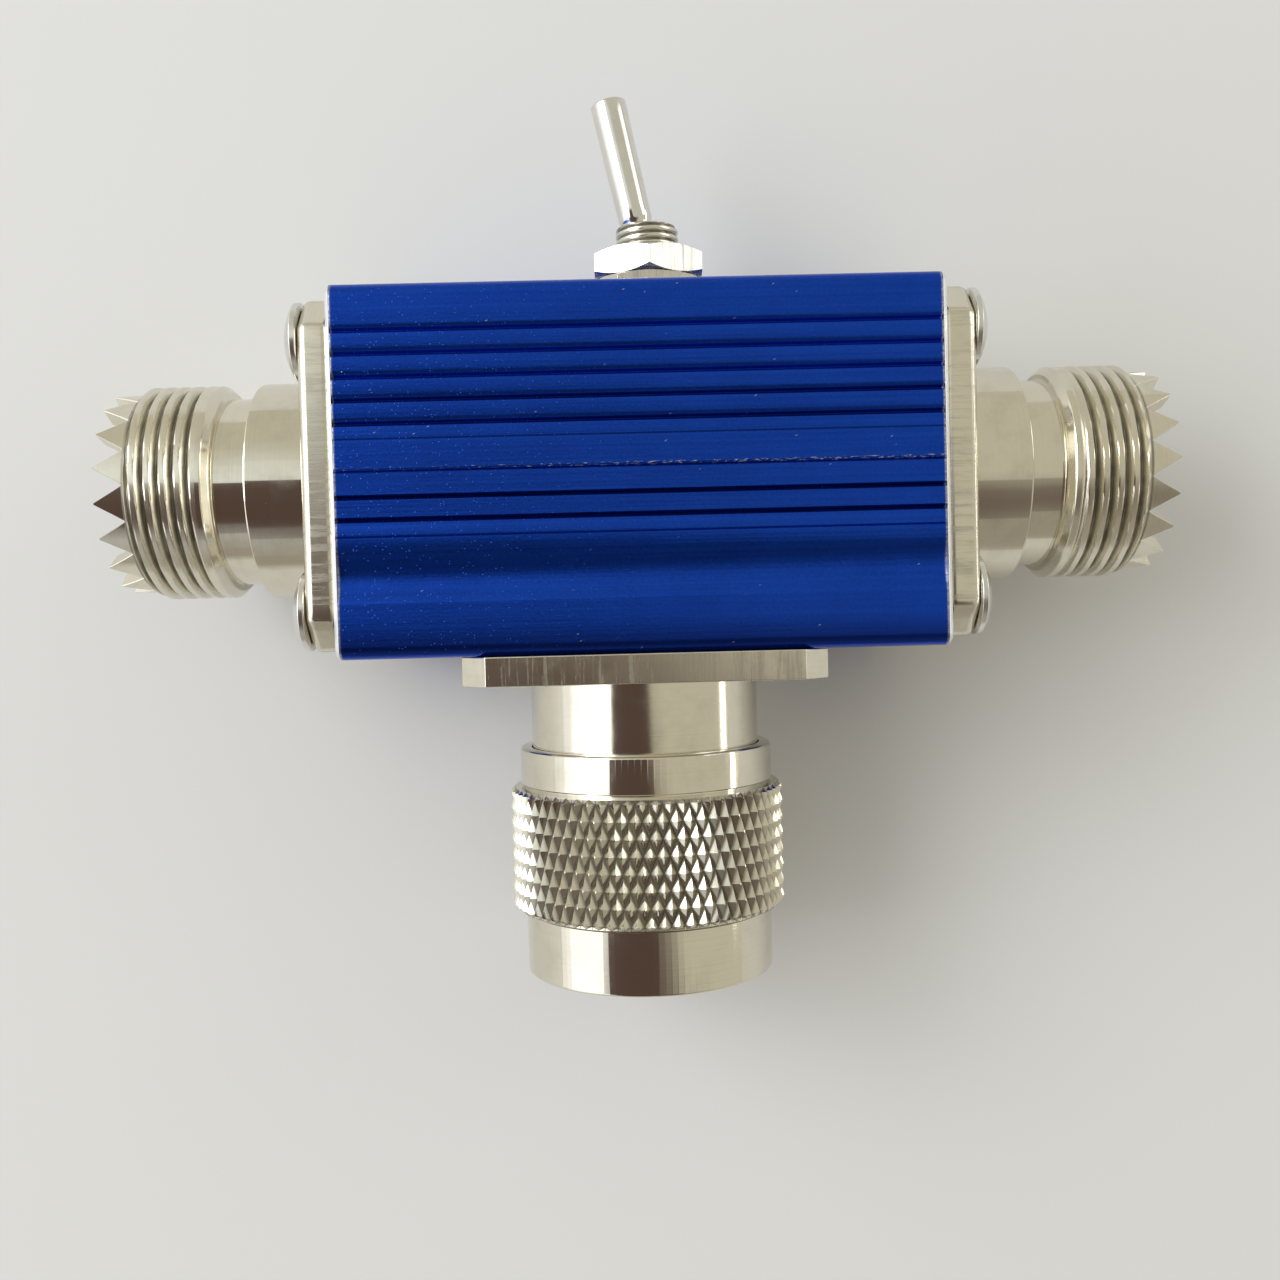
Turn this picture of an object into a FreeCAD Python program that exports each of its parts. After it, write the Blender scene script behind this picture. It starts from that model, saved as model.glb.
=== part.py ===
"""Coaxial antenna switch: a toggle joins the plug to one of two receptacles on a square aluminium case.

Frame: the part lies on the back of its case. The origin is the centre of that face, below the point where the
receptacles' axis and the plug's axis cross. +Z is up, +X runs along the receptacles, +Y points to the toggle.
"""
import FreeCAD, Part
import math
import os

import Sketcher

Vector, Rotation, Placement = FreeCAD.Vector, FreeCAD.Rotation, FreeCAD.Placement

# The driving dimensions, in millimetres and degrees.
DIMENSIONS = {
    # two-part case: both halves are cut from one extrusion
    "case_width": 25.0,
    "case_length": 40.7,
    "case_wall": 1.5,
    "case_corner": 0.9,
    "inner_corner": 0.4,
    "seam_lap": 0.7,
    "seam_tongue": 0.7,
    "seam_edge": 0.12,
    "fit_gap": 0.05,
    "rib_first": 9.3,
    "rib_pitch": 1.54,
    "rib_count": 5,
    "rib_slope": 0.45,
    "rib_slope_depth": 0.1,
    "groove_width": 0.36,
    "groove_depth": 0.42,
    "scribe_width": 0.16,
    "scribe_depth": 0.08,
    "high_scribe": 2.06,
    "near_groove": 1.73,
    "far_groove": 3.22,
    "low_scribe": 4.35,
    "flute_start": 5.3,
    "flute_end": 8.8,
    "flute_depth": 0.45,
    # screw channels in the case's corners, and the screws
    "screw_inset": 3.35,
    "channel_radius": 2.3,
    "channel_mouth": 1.2,
    "screw_radius": 1.5,
    "screw_clearance": 0.15,
    "screw_point": 0.5,
    "head_radius": 2.75,
    "head_height": 1.25,
    "head_rim": 0.45,
    "end_screw_length": 8.0,
    # receptacles
    "flange_inset": 0.55,
    "flange_thick": 2.4,
    "flange_cut": 2.1,
    "flange_soft": 0.5,
    "sleeve_radius": 8.0,
    "sleeve_length": 4.95,
    "relief_radius": 6.95,
    "relief_length": 2.5,
    "thread_radius": 7.9375,
    "thread_length": 6.05,
    "thread_start": 0.5,
    "crown_radius": 7.4,
    "crown_height": 2.15,
    "crown_teeth": 18,
    "tooth_tip": 0.08,
    "left_crown_turn": -9.7,
    "right_crown_turn": -1.5,
    "cavity_radius": 6.15,
    "cavity_depth": 5.0,
    "insulator_step": 0.5,
    "insulator_step_length": 1.7,
    "boss_radius": 4.2,
    "boss_length": 2.4,
    # centre contacts
    "contact_radius": 2.5,
    "contact_bore": 2.02,
    "contact_depth": 8.7,
    "contact_recess": 0.15,
    "contact_slot": 0.45,
    "contact_slot_length": 6.0,
    "collar_radius": 3.2,
    "collar_length": 0.85,
    "cup_radius": 1.9,
    "cup_bore": 1.3,
    "cup_length": 3.5,
    "cup_depth": 2.6,
    # plug
    "plug_flange_inset": 0.05,
    "plug_flange_thick": 2.05,
    "plug_flange_cut": 1.75,
    "plug_flange_soft": 0.1,
    "spigot_radius": 8.0,
    "spigot_length": 1.9,
    "neck_radius": 8.57,
    "neck_land": 0.7,
    "shoulder_radius": 7.9,
    "shoulder_length": 1.3,
    "nose_radius": 6.0,
    "nose_bore": 5.1,
    "nose_length": 4.6,
    "nose_slot": 0.8,
    "nose_slot_length": 2.5,
    "plug_recess": 1.0,
    "plug_step": 0.6,
    "plug_step_length": 1.5,
    "plug_boss_radius": 3.6,
    "plug_boss_length": 2.0,
    "pin_radius": 2.0,
    "pin_root_radius": 2.3,
    "pin_reach": 8.4,
    "pin_bore": 1.2,
    "pin_cup_length": 2.7,
    "pin_cup_depth": 2.0,
    "plug_screw_head": 2.8,
    "plug_screw_sink": 1.3,
    "plug_screw_length": 3.6,
    # coupling ring and its snap ring
    "ring_travel": 5.15,
    "ring_gap": 0.08,
    "collar_band_radius": 9.5,
    "collar_band_length": 2.75,
    "undercut": 0.22,
    "undercut_radius": 9.22,
    "knurl_radius": 10.3,
    "knurl_length": 9.08,
    "knurl_chamfer": 0.35,
    "front_band_radius": 9.3,
    "front_band_length": 4.63,
    "ring_edge": 0.25,
    "lip_length": 3.45,
    "ring_cavity_radius": 9.15,
    "ring_thread_radius": 8.0,
    "snap_radius": 9.0,
    "snap_bore": 7.95,
    "snap_thick": 0.9,
    "snap_split": 1.4,
    "snap_seat_radius": 7.4,
    # toggle switch
    "toggle_place": 1.1,
    "bushing_radius": 2.35,
    "bushing_height": 6.65,
    "bushing_bore": 1.9,
    "bushing_edge": 0.15,
    "tail_room": 1.98,
    "tail_room_top": 0.8,
    "base_length": 12.8,
    "base_width": 7.0,
    "base_thick": 0.8,
    "frame_thick": 0.4,
    "frame_leg": 8.2,
    "frame_leg_short": 1.1,
    "housing_length": 13.2,
    "housing_width": 7.1,
    "housing_clear": 0.85,
    "housing_wall": 0.9,
    "housing_floor": 1.6,
    "pivot_height": 3.4,
    "pivot_radius": 0.5,
    "pivot_gap": 0.04,
    "pivot_length": 4.5,
    "ball_radius": 1.75,
    "lever_lean": 12.0,
    "lever_reach": 13.1,
    "lever_neck_radius": 1.12,
    "lever_neck_end": 3.62,
    "lever_base_radius": 1.26,
    "lever_base_start": 4.0,
    "lever_tip_radius": 1.35,
    "lever_edge": 0.2,
    "lever_dome": 0.12,
    "tail_radius": 1.05,
    "tail_length": 4.3,
    "tail_bore": 0.7,
    "tail_bore_end": 1.15,
    "plunger_radius": 0.65,
    "plunger_tip": 7.85,
    "plunger_top": 3.3,
    "spring_radius": 0.48,
    "spring_wire": 0.2,
    "spring_turns": 4,
    "rocker_tilt": 8.0,
    "rocker_short": 0.1,
    "rocker_flat": 2.2,
    "rocker_drop": 1.6,
    "rocker_thick": 0.45,
    "rocker_width": 3.6,
    "rocker_gap": 0.05,
    "terminal_room": 0.1,
    "terminal_thick": 0.8,
    "terminal_width": 2.0,
    "terminal_length": 4.0,
    "stud_radius": 0.9,
    "nut_flats": 8.0,
    "nut_thick": 2.0,
    "nut_chamfer_angle": 30.0,
    "washer_radius": 4.4,
    "washer_thick": 0.6,
    "washer_teeth": 10,
    "washer_notch": 0.6,
    "thread_room": 0.05,
    # jumper wires
    "wire_radius": 0.45,
    "wire_hole": 0.55,
    "wire_end_room": 0.6,
    "wire_beyond": 0.9,
    "wire_stop": 0.4,
}

doc = FreeCAD.newDocument("AntennaSwitch")
sheet = doc.addObject("Spreadsheet::Sheet", "Sizes")
for row, (alias, number) in enumerate(DIMENSIONS.items(), start=1):
    sheet.set(f"A{row}", alias)
    sheet.set(f"B{row}", str(number))
    sheet.setAlias(f"B{row}", alias)
doc.recompute()


class Size:
    """A number that keeps the sheet expression it comes from, so that one formula gives both."""

    def __init__(self, number, text=None):
        self.number = float(number)
        self.text = text if text is not None else f"{self.number:.10g}"

    def __add__(self, other):
        other = as_size(other)
        return Size(self.number + other.number, f"({self.text} + {other.text})")

    def __sub__(self, other):
        other = as_size(other)
        return Size(self.number - other.number, f"({self.text} - {other.text})")

    def __mul__(self, other):
        other = as_size(other)
        return Size(self.number * other.number, f"({self.text} * {other.text})")

    def __truediv__(self, other):
        other = as_size(other)
        return Size(self.number / other.number, f"({self.text} / {other.text})")

    def __neg__(self):
        return Size(-self.number, f"(0 - {self.text})")

    def __radd__(self, other):
        return as_size(other) + self

    def __rsub__(self, other):
        return as_size(other) - self

    def __rmul__(self, other):
        return as_size(other) * self


def as_size(value):
    return value if isinstance(value, Size) else Size(value)


def root(value):
    """The square root of a size."""
    return Size(math.sqrt(value.number), f"sqrt({value.text})")


def sine(angle):
    return Size(math.sin(math.radians(angle.number)), f"sin({angle.text})")


def cosine(angle):
    return Size(math.cos(math.radians(angle.number)), f"cos({angle.text})")


class Sheet:
    """Every cell of the sheet, as a Size."""

    def __getattr__(self, alias):
        return Size(sheet.get(alias), f"Sizes.{alias}")


S = Sheet()


# ---------------------------------------------------------------- sketch and feature helpers

# how the sketcher counts the points of an edge or a circle
START, END, CENTRE = 1, 2, 3


def bind(item, prop, size):
    """Tie one property of a document object to the sheet."""
    item.setExpression(prop, as_size(size).text)


def new_body(label):
    body = doc.addObject("PartDesign::Body", label)
    body.Label = label
    body.AllowCompound = True
    return body


def datum(body, role):
    """One of the body's own origin planes or axes, such as XZ_Plane."""
    return next(item for item in body.Origin.OriginFeatures if item.Role == role)


def hold(sketch, element, corner, place):
    """Hold one point of a sketch from its origin, both ways."""
    for kind, axis, size in (("DistanceX", -2, place[0]), ("DistanceY", -1, place[1])):
        size = as_size(size)
        if size.text == "0":
            sketch.addConstraint(Sketcher.Constraint("PointOnObject", element, corner, axis))
        else:
            index = sketch.addConstraint(Sketcher.Constraint(kind, -1, 1, element, corner, size.number))
            sketch.setExpression(f"Constraints[{index}]", size.text)


def draw_outline(sketch, corners):
    """A closed outline. A corner is (x, y), or (x, y, radius) where the edge that leaves it is an arc.

    A positive radius turns left, as a bulge does on an outline drawn counter-clockwise.
    """
    points = [Vector(as_size(c[0]).number, as_size(c[1]).number, 0) for c in corners]
    first = sketch.GeometryCount
    edges = []
    for index, corner in enumerate(corners):
        start, end = points[index], points[(index + 1) % len(points)]
        if len(corner) == 2:
            edges.append(Part.LineSegment(start, end))
            continue
        radius = as_size(corner[2]).number
        chord = end - start
        outward = Vector(chord.y, -chord.x, 0).normalize() * math.copysign(1, radius)
        bulge = abs(radius) - math.sqrt(max(radius * radius - chord.Length**2 / 4, 0))
        edges.append(Part.Arc(start, (start + end) / 2 + outward * bulge, end))
    sketch.addGeometry(edges, False)
    ends = []
    for index, start in enumerate(points):
        at_start = sketch.getPoint(first + index, START).distanceToPoint(start)
        at_end = sketch.getPoint(first + index, END).distanceToPoint(start)
        ends.append((START, END) if at_start < at_end else (END, START))
    for index, corner in enumerate(corners):
        after = (index + 1) % len(corners)
        sketch.addConstraint(
            Sketcher.Constraint("Coincident", first + index, ends[index][1], first + after, ends[after][0])
        )
    for index, corner in enumerate(corners):
        hold(sketch, first + index, ends[index][0], corner)
        if len(corner) == 3:
            radius = as_size(corner[2])
            radius = radius if radius.number > 0 else -radius
            place = sketch.addConstraint(Sketcher.Constraint("Radius", first + index, radius.number))
            sketch.setExpression(f"Constraints[{place}]", radius.text)


def draw_circle(sketch, x, y, radius):
    x, y, radius = as_size(x), as_size(y), as_size(radius)
    element = sketch.addGeometry(
        Part.Circle(Vector(x.number, y.number, 0), Vector(0, 0, 1), radius.number), False
    )
    hold(sketch, element, CENTRE, (x, y))
    place = sketch.addConstraint(Sketcher.Constraint("Radius", element, radius.number))
    sketch.setExpression(f"Constraints[{place}]", radius.text)


def draw(body, role, outlines=(), circles=(), lift=0, aside=0, turn=0):
    """A sketch on one of the body's planes, lifted off it, moved aside along its own x and turned about its own y."""
    sketch = body.newObject("Sketcher::SketchObject", f"{body.Label}_sketch")
    sketch.AttachmentSupport = [(datum(body, role), "")]
    sketch.MapMode = "FlatFace"
    lift, aside = as_size(lift), as_size(aside)
    sketch.AttachmentOffset = Placement(
        Vector(aside.number, 0, lift.number), Rotation(Vector(0, 1, 0), as_size(turn).number)
    )
    bind(sketch, "AttachmentOffset.Base.x", aside)
    bind(sketch, "AttachmentOffset.Base.z", lift)
    for corners in outlines:
        draw_outline(sketch, corners)
    for circle in circles:
        draw_circle(sketch, *circle)
    return sketch


def pad(body, sketch, length, both_ways=False):
    """Raise a sketch along its normal, or half the length to each side of it."""
    feature = body.newObject("PartDesign::Pad", f"{body.Label}_pad")
    feature.Profile = sketch
    bind(feature, "Length", length)
    feature.SideType = "Symmetric" if both_ways else "One side"
    return feature


def pocket(body, sketch, length=None, forward=False):
    """Cut a sketch away, through everything both ways or by a length against its normal."""
    feature = body.newObject("PartDesign::Pocket", f"{body.Label}_pocket")
    feature.Profile = sketch
    if length is None:
        feature.SideType = "Symmetric"
        feature.Type = "ThroughAll"
    else:
        bind(feature, "Length", length)
        feature.Reversed = forward
    return feature


def turned(body, corners, cut=False, lift=0, aside=0):
    """A solid, or a cut, of revolution about the body's Z axis, from an outline of (radius, height) corners."""
    sketch = draw(body, "XZ_Plane", [corners], lift=lift, aside=aside)
    kind = "Groove" if cut else "Revolution"
    feature = body.newObject(f"PartDesign::{kind}", f"{body.Label}_{kind.lower()}")
    feature.Profile = sketch
    feature.ReferenceAxis = (sketch, ["V_Axis"])
    feature.Angle = 360
    return feature


def around(body, feature, count):
    """Repeat a feature evenly about the body's Z axis."""
    pattern = body.newObject("PartDesign::PolarPattern", f"{body.Label}_pattern")
    pattern.Originals = [feature]
    pattern.Axis = (datum(body, "Z_Axis"), [""])
    pattern.Angle = 360
    bind(pattern, "Occurrences", count)
    body.Tip = pattern
    return pattern


def soften(body, kind, size, wanted):
    """A Fillet or a Chamfer on those edges of the body so far that the test picks."""
    doc.recompute()
    base = body.Tip
    names = [f"Edge{i}" for i, edge in enumerate(base.Shape.Edges, start=1) if wanted(edge)]
    if not names:
        raise RuntimeError(f"{body.Label}: no edge to soften")
    feature = body.newObject(f"PartDesign::{kind}", f"{body.Label}_{kind.lower()}")
    feature.Base = (base, names)
    bind(feature, "Radius" if kind == "Fillet" else "Size", size)
    return feature


def near(a, b, slack=1e-4):
    return abs(a - b) < slack


def place(body, turn, x=0, y=0, z=0):
    """Stand a body in the assembly: turned first, then moved from the crossing of the two main axes."""
    x, y, z = as_size(x), as_size(y), S.case_width / 2 + z
    body.Placement = Placement(Vector(x.number, y.number, z.number), turn)
    bind(body, "Placement.Base.x", x)
    bind(body, "Placement.Base.y", y)
    bind(body, "Placement.Base.z", z)
    return body


def square_with_cut_corners(side, cut):
    half, short = side / 2, side / 2 - cut
    return [
        (half, -short), (half, short), (short, half), (-short, half),
        (-half, short), (-half, -short), (-short, -half), (short, -half),
    ]


def rectangle(half_x, low_y, high_y):
    return [(-half_x, low_y), (half_x, low_y), (half_x, high_y), (-half_x, high_y)]


def four_screw_places():
    return [(screw_place * x, screw_place * y) for x in (-1, 1) for y in (-1, 1)]


# Which way each group of pieces points: its own +Z becomes this direction.
TO_RIGHT = Rotation(Vector(0, 1, 0), 90)
TO_LEFT = Rotation(Vector(0, 1, 0), -90)
TO_PLUG = Rotation(Vector(1, 0, 0), 90)
TO_TOGGLE = Rotation(Vector(1, 0, 0), -90)
UPRIGHT = Rotation()

# Heights along each connector's axis, from the crossing of the axes.
half_width = S.case_width / 2
inner_half = half_width - S.case_wall
screw_place = half_width - S.screw_inset
flange_face = S.case_length / 2
flange_outer = flange_face + S.flange_thick
sleeve_outer = flange_outer + S.sleeve_length
thread_inner = sleeve_outer + S.relief_length
thread_outer = thread_inner + S.thread_length
crown_tip = thread_outer + S.crown_height
cavity_floor = crown_tip - S.cavity_depth
plug_flange_outer = half_width + S.plug_flange_thick
ring_rear = plug_flange_outer + S.fit_gap + S.ring_travel
lip_front = ring_rear + S.lip_length
snap_rear = lip_front + S.fit_gap
snap_front = snap_rear + S.snap_thick
neck_front = snap_front + S.fit_gap + S.neck_land
shoulder_front = neck_front + S.shoulder_length
nose_front = shoulder_front + S.nose_length
plug_insulator_front = nose_front - S.plug_recess
pin_tip = plug_insulator_front + S.pin_reach
ring_cavity_front = neck_front + S.fit_gap + S.ring_travel
toggle_pivot = half_width + S.pivot_height
frame_low = inner_half - S.frame_thick
base_low = frame_low - S.base_thick
housing_low = S.wire_radius + S.housing_clear
floor_top = housing_low + S.housing_floor
rocker_top = toggle_pivot - S.plunger_tip - S.rocker_gap
rocker_under = rocker_top - S.rocker_thick
post_radius = S.terminal_thick / 2
rocker_pivot = rocker_under - S.rocker_gap - post_radius
terminal_place = S.housing_length / 2 - S.housing_wall - S.stud_radius - S.terminal_room
rocker_half = terminal_place - S.rocker_short
arm_end = rocker_under - S.rocker_drop - rocker_pivot
arm_low = arm_end * cosine(S.rocker_tilt) - rocker_half * sine(S.rocker_tilt)
stud_top = rocker_pivot + arm_low - S.rocker_gap


# ---------------------------------------------------------------- case


def grooved_face():
    """Seam-to-corner points of the grooved face: sloped ribs with a groove at the foot of each, and a scribed line."""
    points = [(S.seam_edge, 0), *notch(S.high_scribe, S.scribe_width, S.scribe_depth)]
    for index in reversed(range(int(S.rib_count.number))):
        foot = S.rib_first - S.rib_pitch * index
        points += [
            (foot - S.groove_width / 2, 0),
            (foot, S.groove_depth),
            (foot + S.groove_width / 2, S.rib_slope_depth),
            (foot + S.rib_slope, 0),
        ]
    return points


def fluted_face():
    """Seam-to-corner points of the other face: two grooves, two scribed lines and a wide shallow flute."""
    scribe = S.scribe_width, S.scribe_depth
    chord, depth = S.flute_end - S.flute_start, S.flute_depth
    flute_radius = (chord * chord / 4 + depth * depth) / (depth * 2)
    return [
        (S.seam_edge, 0),
        *notch(S.near_groove, S.groove_width, S.groove_depth),
        (S.far_groove - S.groove_width / 2, 0),
        (S.far_groove, S.groove_depth),
        (S.far_groove + S.groove_width / 2, S.rib_slope_depth),
        (S.far_groove + S.rib_slope, 0),
        *notch(S.low_scribe, *scribe),
        (S.flute_start, 0, flute_radius),
        (S.flute_end, 0),
    ]


def notch(middle, width, depth):
    return [(middle - width / 2, 0), (middle, depth), (middle + width / 2, 0)]


def case_half(label):
    """One half of the case, drawn across its length with the seam at y = 0 and the closed side towards +Y."""
    body = new_body(label)
    front = [(y, half_width - depth) for y, depth in grooved_face()]
    back = []
    for corner in fluted_face():
        point = (corner[0], corner[1] - half_width)
        back.append(point if len(corner) == 2 else (*point, corner[2]))
    tongue = inner_half + S.seam_tongue
    rebate = inner_half + S.seam_tongue + S.fit_gap
    outline = [
        (0, S.seam_edge - half_width),
        *back,
        (half_width, -half_width),
        (half_width, half_width),
        *reversed(front),
        (0, half_width - S.seam_edge),
        (0, tongue),
        (-S.seam_lap, tongue),
        (-S.seam_lap, inner_half),
        (inner_half, inner_half),
        (inner_half, -inner_half),
        (S.seam_lap + S.fit_gap, -inner_half),
        (S.seam_lap + S.fit_gap, -rebate),
        (0, -rebate),
    ]
    # the flute's arc is drawn from its start near the seam to its end, so it turns right: a hollow
    outline = [c if len(c) == 2 else (c[0], c[1], -c[2]) for c in outline]
    pad(body, draw(body, "YZ_Plane", [outline]), S.case_length, both_ways=True)
    places = [(screw_place, screw_place * side) for side in (-1, 1)]
    pad(
        body,
        draw(body, "YZ_Plane", circles=[(y, z, S.channel_radius) for y, z in places]),
        S.case_length,
        both_ways=True,
    )
    slots = []
    for side in (-1, 1):
        reach, half_mouth = S.channel_radius + S.fit_gap, S.channel_mouth / 2
        diagonal = math.sqrt(0.5)
        along = (-diagonal, -diagonal * side)
        across = (-diagonal, diagonal * side)
        corners = []
        for a, c in ((0, -1), (1, -1), (1, 1), (0, 1)):
            corners.append(
                (
                    screw_place + reach * (along[0] * a) + half_mouth * (across[0] * c),
                    screw_place * side + reach * (along[1] * a) + half_mouth * (across[1] * c),
                )
            )
        slots.append(corners)
    bores = [(y, z, S.screw_radius + S.fit_gap) for y, z in places]
    pocket(body, draw(body, "YZ_Plane", circles=bores))
    for corners in slots:
        pocket(body, draw(body, "YZ_Plane", [corners]))
    soften(body, "Fillet", S.case_corner, lambda edge: runs_along_corner(edge, half_width.number))
    soften(body, "Fillet", S.inner_corner, inner_lip_edge)
    return body


def runs_along_corner(edge, half):
    """Is this one of the long outer edges of a case half?"""
    box = edge.BoundBox
    return near(box.YMin, half) and near(box.YMax, half) and near(abs(box.ZMin), half) and near(box.ZMin, box.ZMax)


def inner_lip_edge(edge):
    """Is this the long inner edge at the tip of the tongue?"""
    box = edge.BoundBox
    tip, inside = -S.seam_lap.number, inner_half.number
    return near(box.YMin, tip) and near(box.YMax, tip) and near(box.ZMin, inside) and near(box.ZMax, inside)


def case():
    upper = case_half("case_upper_shell")
    # XZ_Plane looks along -Y, so a hole in the closed side is cut against its normal
    hole = draw(upper, "XZ_Plane", circles=[(S.toggle_place, 0, S.bushing_radius + S.thread_room)])
    pocket(upper, hole, half_width + 1)
    place(upper, UPRIGHT)

    lower = case_half("case_lower_shell")
    hole = draw(lower, "XZ_Plane", circles=[(0, 0, S.spigot_radius + S.fit_gap)])
    pocket(lower, hole, half_width + 1)
    screw_depth = S.plug_screw_length - S.plug_flange_thick + S.fit_gap
    holes = draw(
        lower,
        "XZ_Plane",
        circles=[(x, z, S.screw_radius + S.fit_gap) for x, z in four_screw_places()],
        lift=-half_width,
    )
    pocket(lower, holes, screw_depth, forward=True)
    place(lower, Rotation(Vector(1, 0, 0), 180))


# ---------------------------------------------------------------- receptacles


def flange(body, side, cut, low, thick, soft):
    """A square plate with cut corners, the rims of both its faces softened."""
    pad(body, draw(body, "XY_Plane", [square_with_cut_corners(side, cut)], lift=low), thick)
    faces = [as_size(low).number, (low + thick).number]

    def on_a_rim(edge):
        return any(near(edge.BoundBox.ZMin, face) and near(edge.BoundBox.ZMax, face) for face in faces)

    soften(body, "Fillet", soft, on_a_rim)


def receptacle_shell(label, turn_of_crown):
    body = new_body(label)
    side = S.case_width - S.flange_inset * 2
    flange(body, side, S.flange_cut, flange_face, S.flange_thick, S.flange_soft)
    core = S.relief_radius
    turned(
        body,
        [
            (0, flange_face),
            (S.sleeve_radius, flange_face),
            (S.sleeve_radius, sleeve_outer),
            (core, sleeve_outer),
            (core, thread_inner),
            (S.thread_radius - S.thread_start, thread_inner),
            (S.thread_radius, thread_inner + S.thread_start),
            (S.thread_radius, thread_outer - S.thread_start),
            (S.crown_radius, thread_outer),
            (S.crown_radius, crown_tip),
            (0, crown_tip),
        ],
    )
    step_radius = S.cavity_radius + S.insulator_step
    step_top = flange_face + S.insulator_step_length
    turned(
        body,
        [
            (0, flange_face - 1),
            (step_radius, flange_face - 1),
            (step_radius, step_top),
            (S.cavity_radius, step_top),
            (S.cavity_radius, crown_tip + 1),
            (0, crown_tip + 1),
        ],
        cut=True,
    )
    clear = S.screw_radius + S.screw_clearance
    holes = draw(body, "XY_Plane", circles=[(x, y, clear) for x, y in four_screw_places()])
    pocket(body, holes)
    # the notches between the teeth: one wedge, repeated about the axis
    half_pitch = math.tan(math.pi / S.crown_teeth.number)
    half_notch = S.crown_radius * half_pitch - S.tooth_tip / 2
    over = S.crown_height + S.tooth_tip
    half_over = half_notch * over / S.crown_height
    wedge = [(0, thread_outer), (half_over, thread_outer + over), (-half_over, thread_outer + over)]
    middle = turn_of_crown + 180 / S.crown_teeth.number
    sketch = draw(body, "YZ_Plane", [wedge], turn=middle)
    cut = pocket(body, sketch, S.crown_radius + 1, forward=True)
    around(body, cut, S.crown_teeth)
    return body


def receptacle_insulator(label):
    body = new_body(label)
    outer = S.cavity_radius - S.fit_gap
    hole = S.contact_radius + S.fit_gap
    step_top = flange_face + S.insulator_step_length - S.fit_gap
    turned(
        body,
        [
            (hole, flange_face - S.boss_length),
            (S.boss_radius, flange_face - S.boss_length),
            (S.boss_radius, flange_face),
            (outer + S.insulator_step, flange_face),
            (outer + S.insulator_step, step_top),
            (outer, step_top),
            (outer, cavity_floor),
            (hole, cavity_floor),
        ],
    )
    return body


def receptacle_contact(label):
    """A slotted socket for a 4 mm pin, with a collar behind the insulator and a solder cup."""
    body = new_body(label)
    front = cavity_floor - S.contact_recess
    collar_top = flange_face - S.boss_length - S.fit_gap
    collar_low = collar_top - S.collar_length
    cup_end = collar_low - S.cup_length
    turned(
        body,
        [
            (0, cup_end + S.cup_depth),
            (S.cup_bore, cup_end + S.cup_depth),
            (S.cup_bore, cup_end),
            (S.cup_radius, cup_end),
            (S.cup_radius, collar_low),
            (S.collar_radius, collar_low),
            (S.collar_radius, collar_top),
            (S.contact_radius, collar_top),
            (S.contact_radius, front),
            (S.contact_bore, front),
            (S.contact_bore, front - S.contact_depth),
            (0, front - S.contact_depth),
        ],
    )
    for role in ("XZ_Plane", "YZ_Plane"):
        slot = rectangle(S.contact_slot / 2, front - S.contact_slot_length, front + 1)
        pocket(body, draw(body, role, [slot]))
    # the open side of the solder cup
    scoop = [
        (0, cup_end - 1),
        (S.cup_radius + 1, cup_end - 1),
        (S.cup_radius + 1, cup_end + S.cup_depth - S.cup_bore / 2),
        (0, cup_end + S.cup_depth - S.cup_bore / 2),
    ]
    pocket(body, draw(body, "YZ_Plane", [scoop]))
    return body


def pan_head_screws(label):
    body = new_body(label)
    tip = flange_outer - S.end_screw_length
    top = flange_outer + S.head_height
    rise = S.head_height - S.head_rim
    dome = (S.head_radius * S.head_radius + rise * rise) / (rise * 2)
    screw = turned(
        body,
        [
            (0, tip),
            (S.screw_radius - S.screw_point, tip),
            (S.screw_radius, tip + S.screw_point),
            (S.screw_radius, flange_outer),
            (S.head_radius, flange_outer),
            (S.head_radius, flange_outer + S.head_rim, dome),
            (0, top),
        ],
        aside=screw_place,
        lift=screw_place,
    )
    around(body, screw, 4)
    return body


def receptacles():
    for side, turn, crown in (
        ("left", TO_LEFT, S.left_crown_turn),
        ("right", TO_RIGHT, S.right_crown_turn),
    ):
        place(receptacle_shell(f"{side}_socket_shell", crown), turn)
        place(receptacle_insulator(f"{side}_socket_insulator"), turn)
        place(receptacle_contact(f"{side}_socket_contact"), turn)
        place(pan_head_screws(f"{side}_socket_screws"), turn)


# ---------------------------------------------------------------- plug


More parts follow.
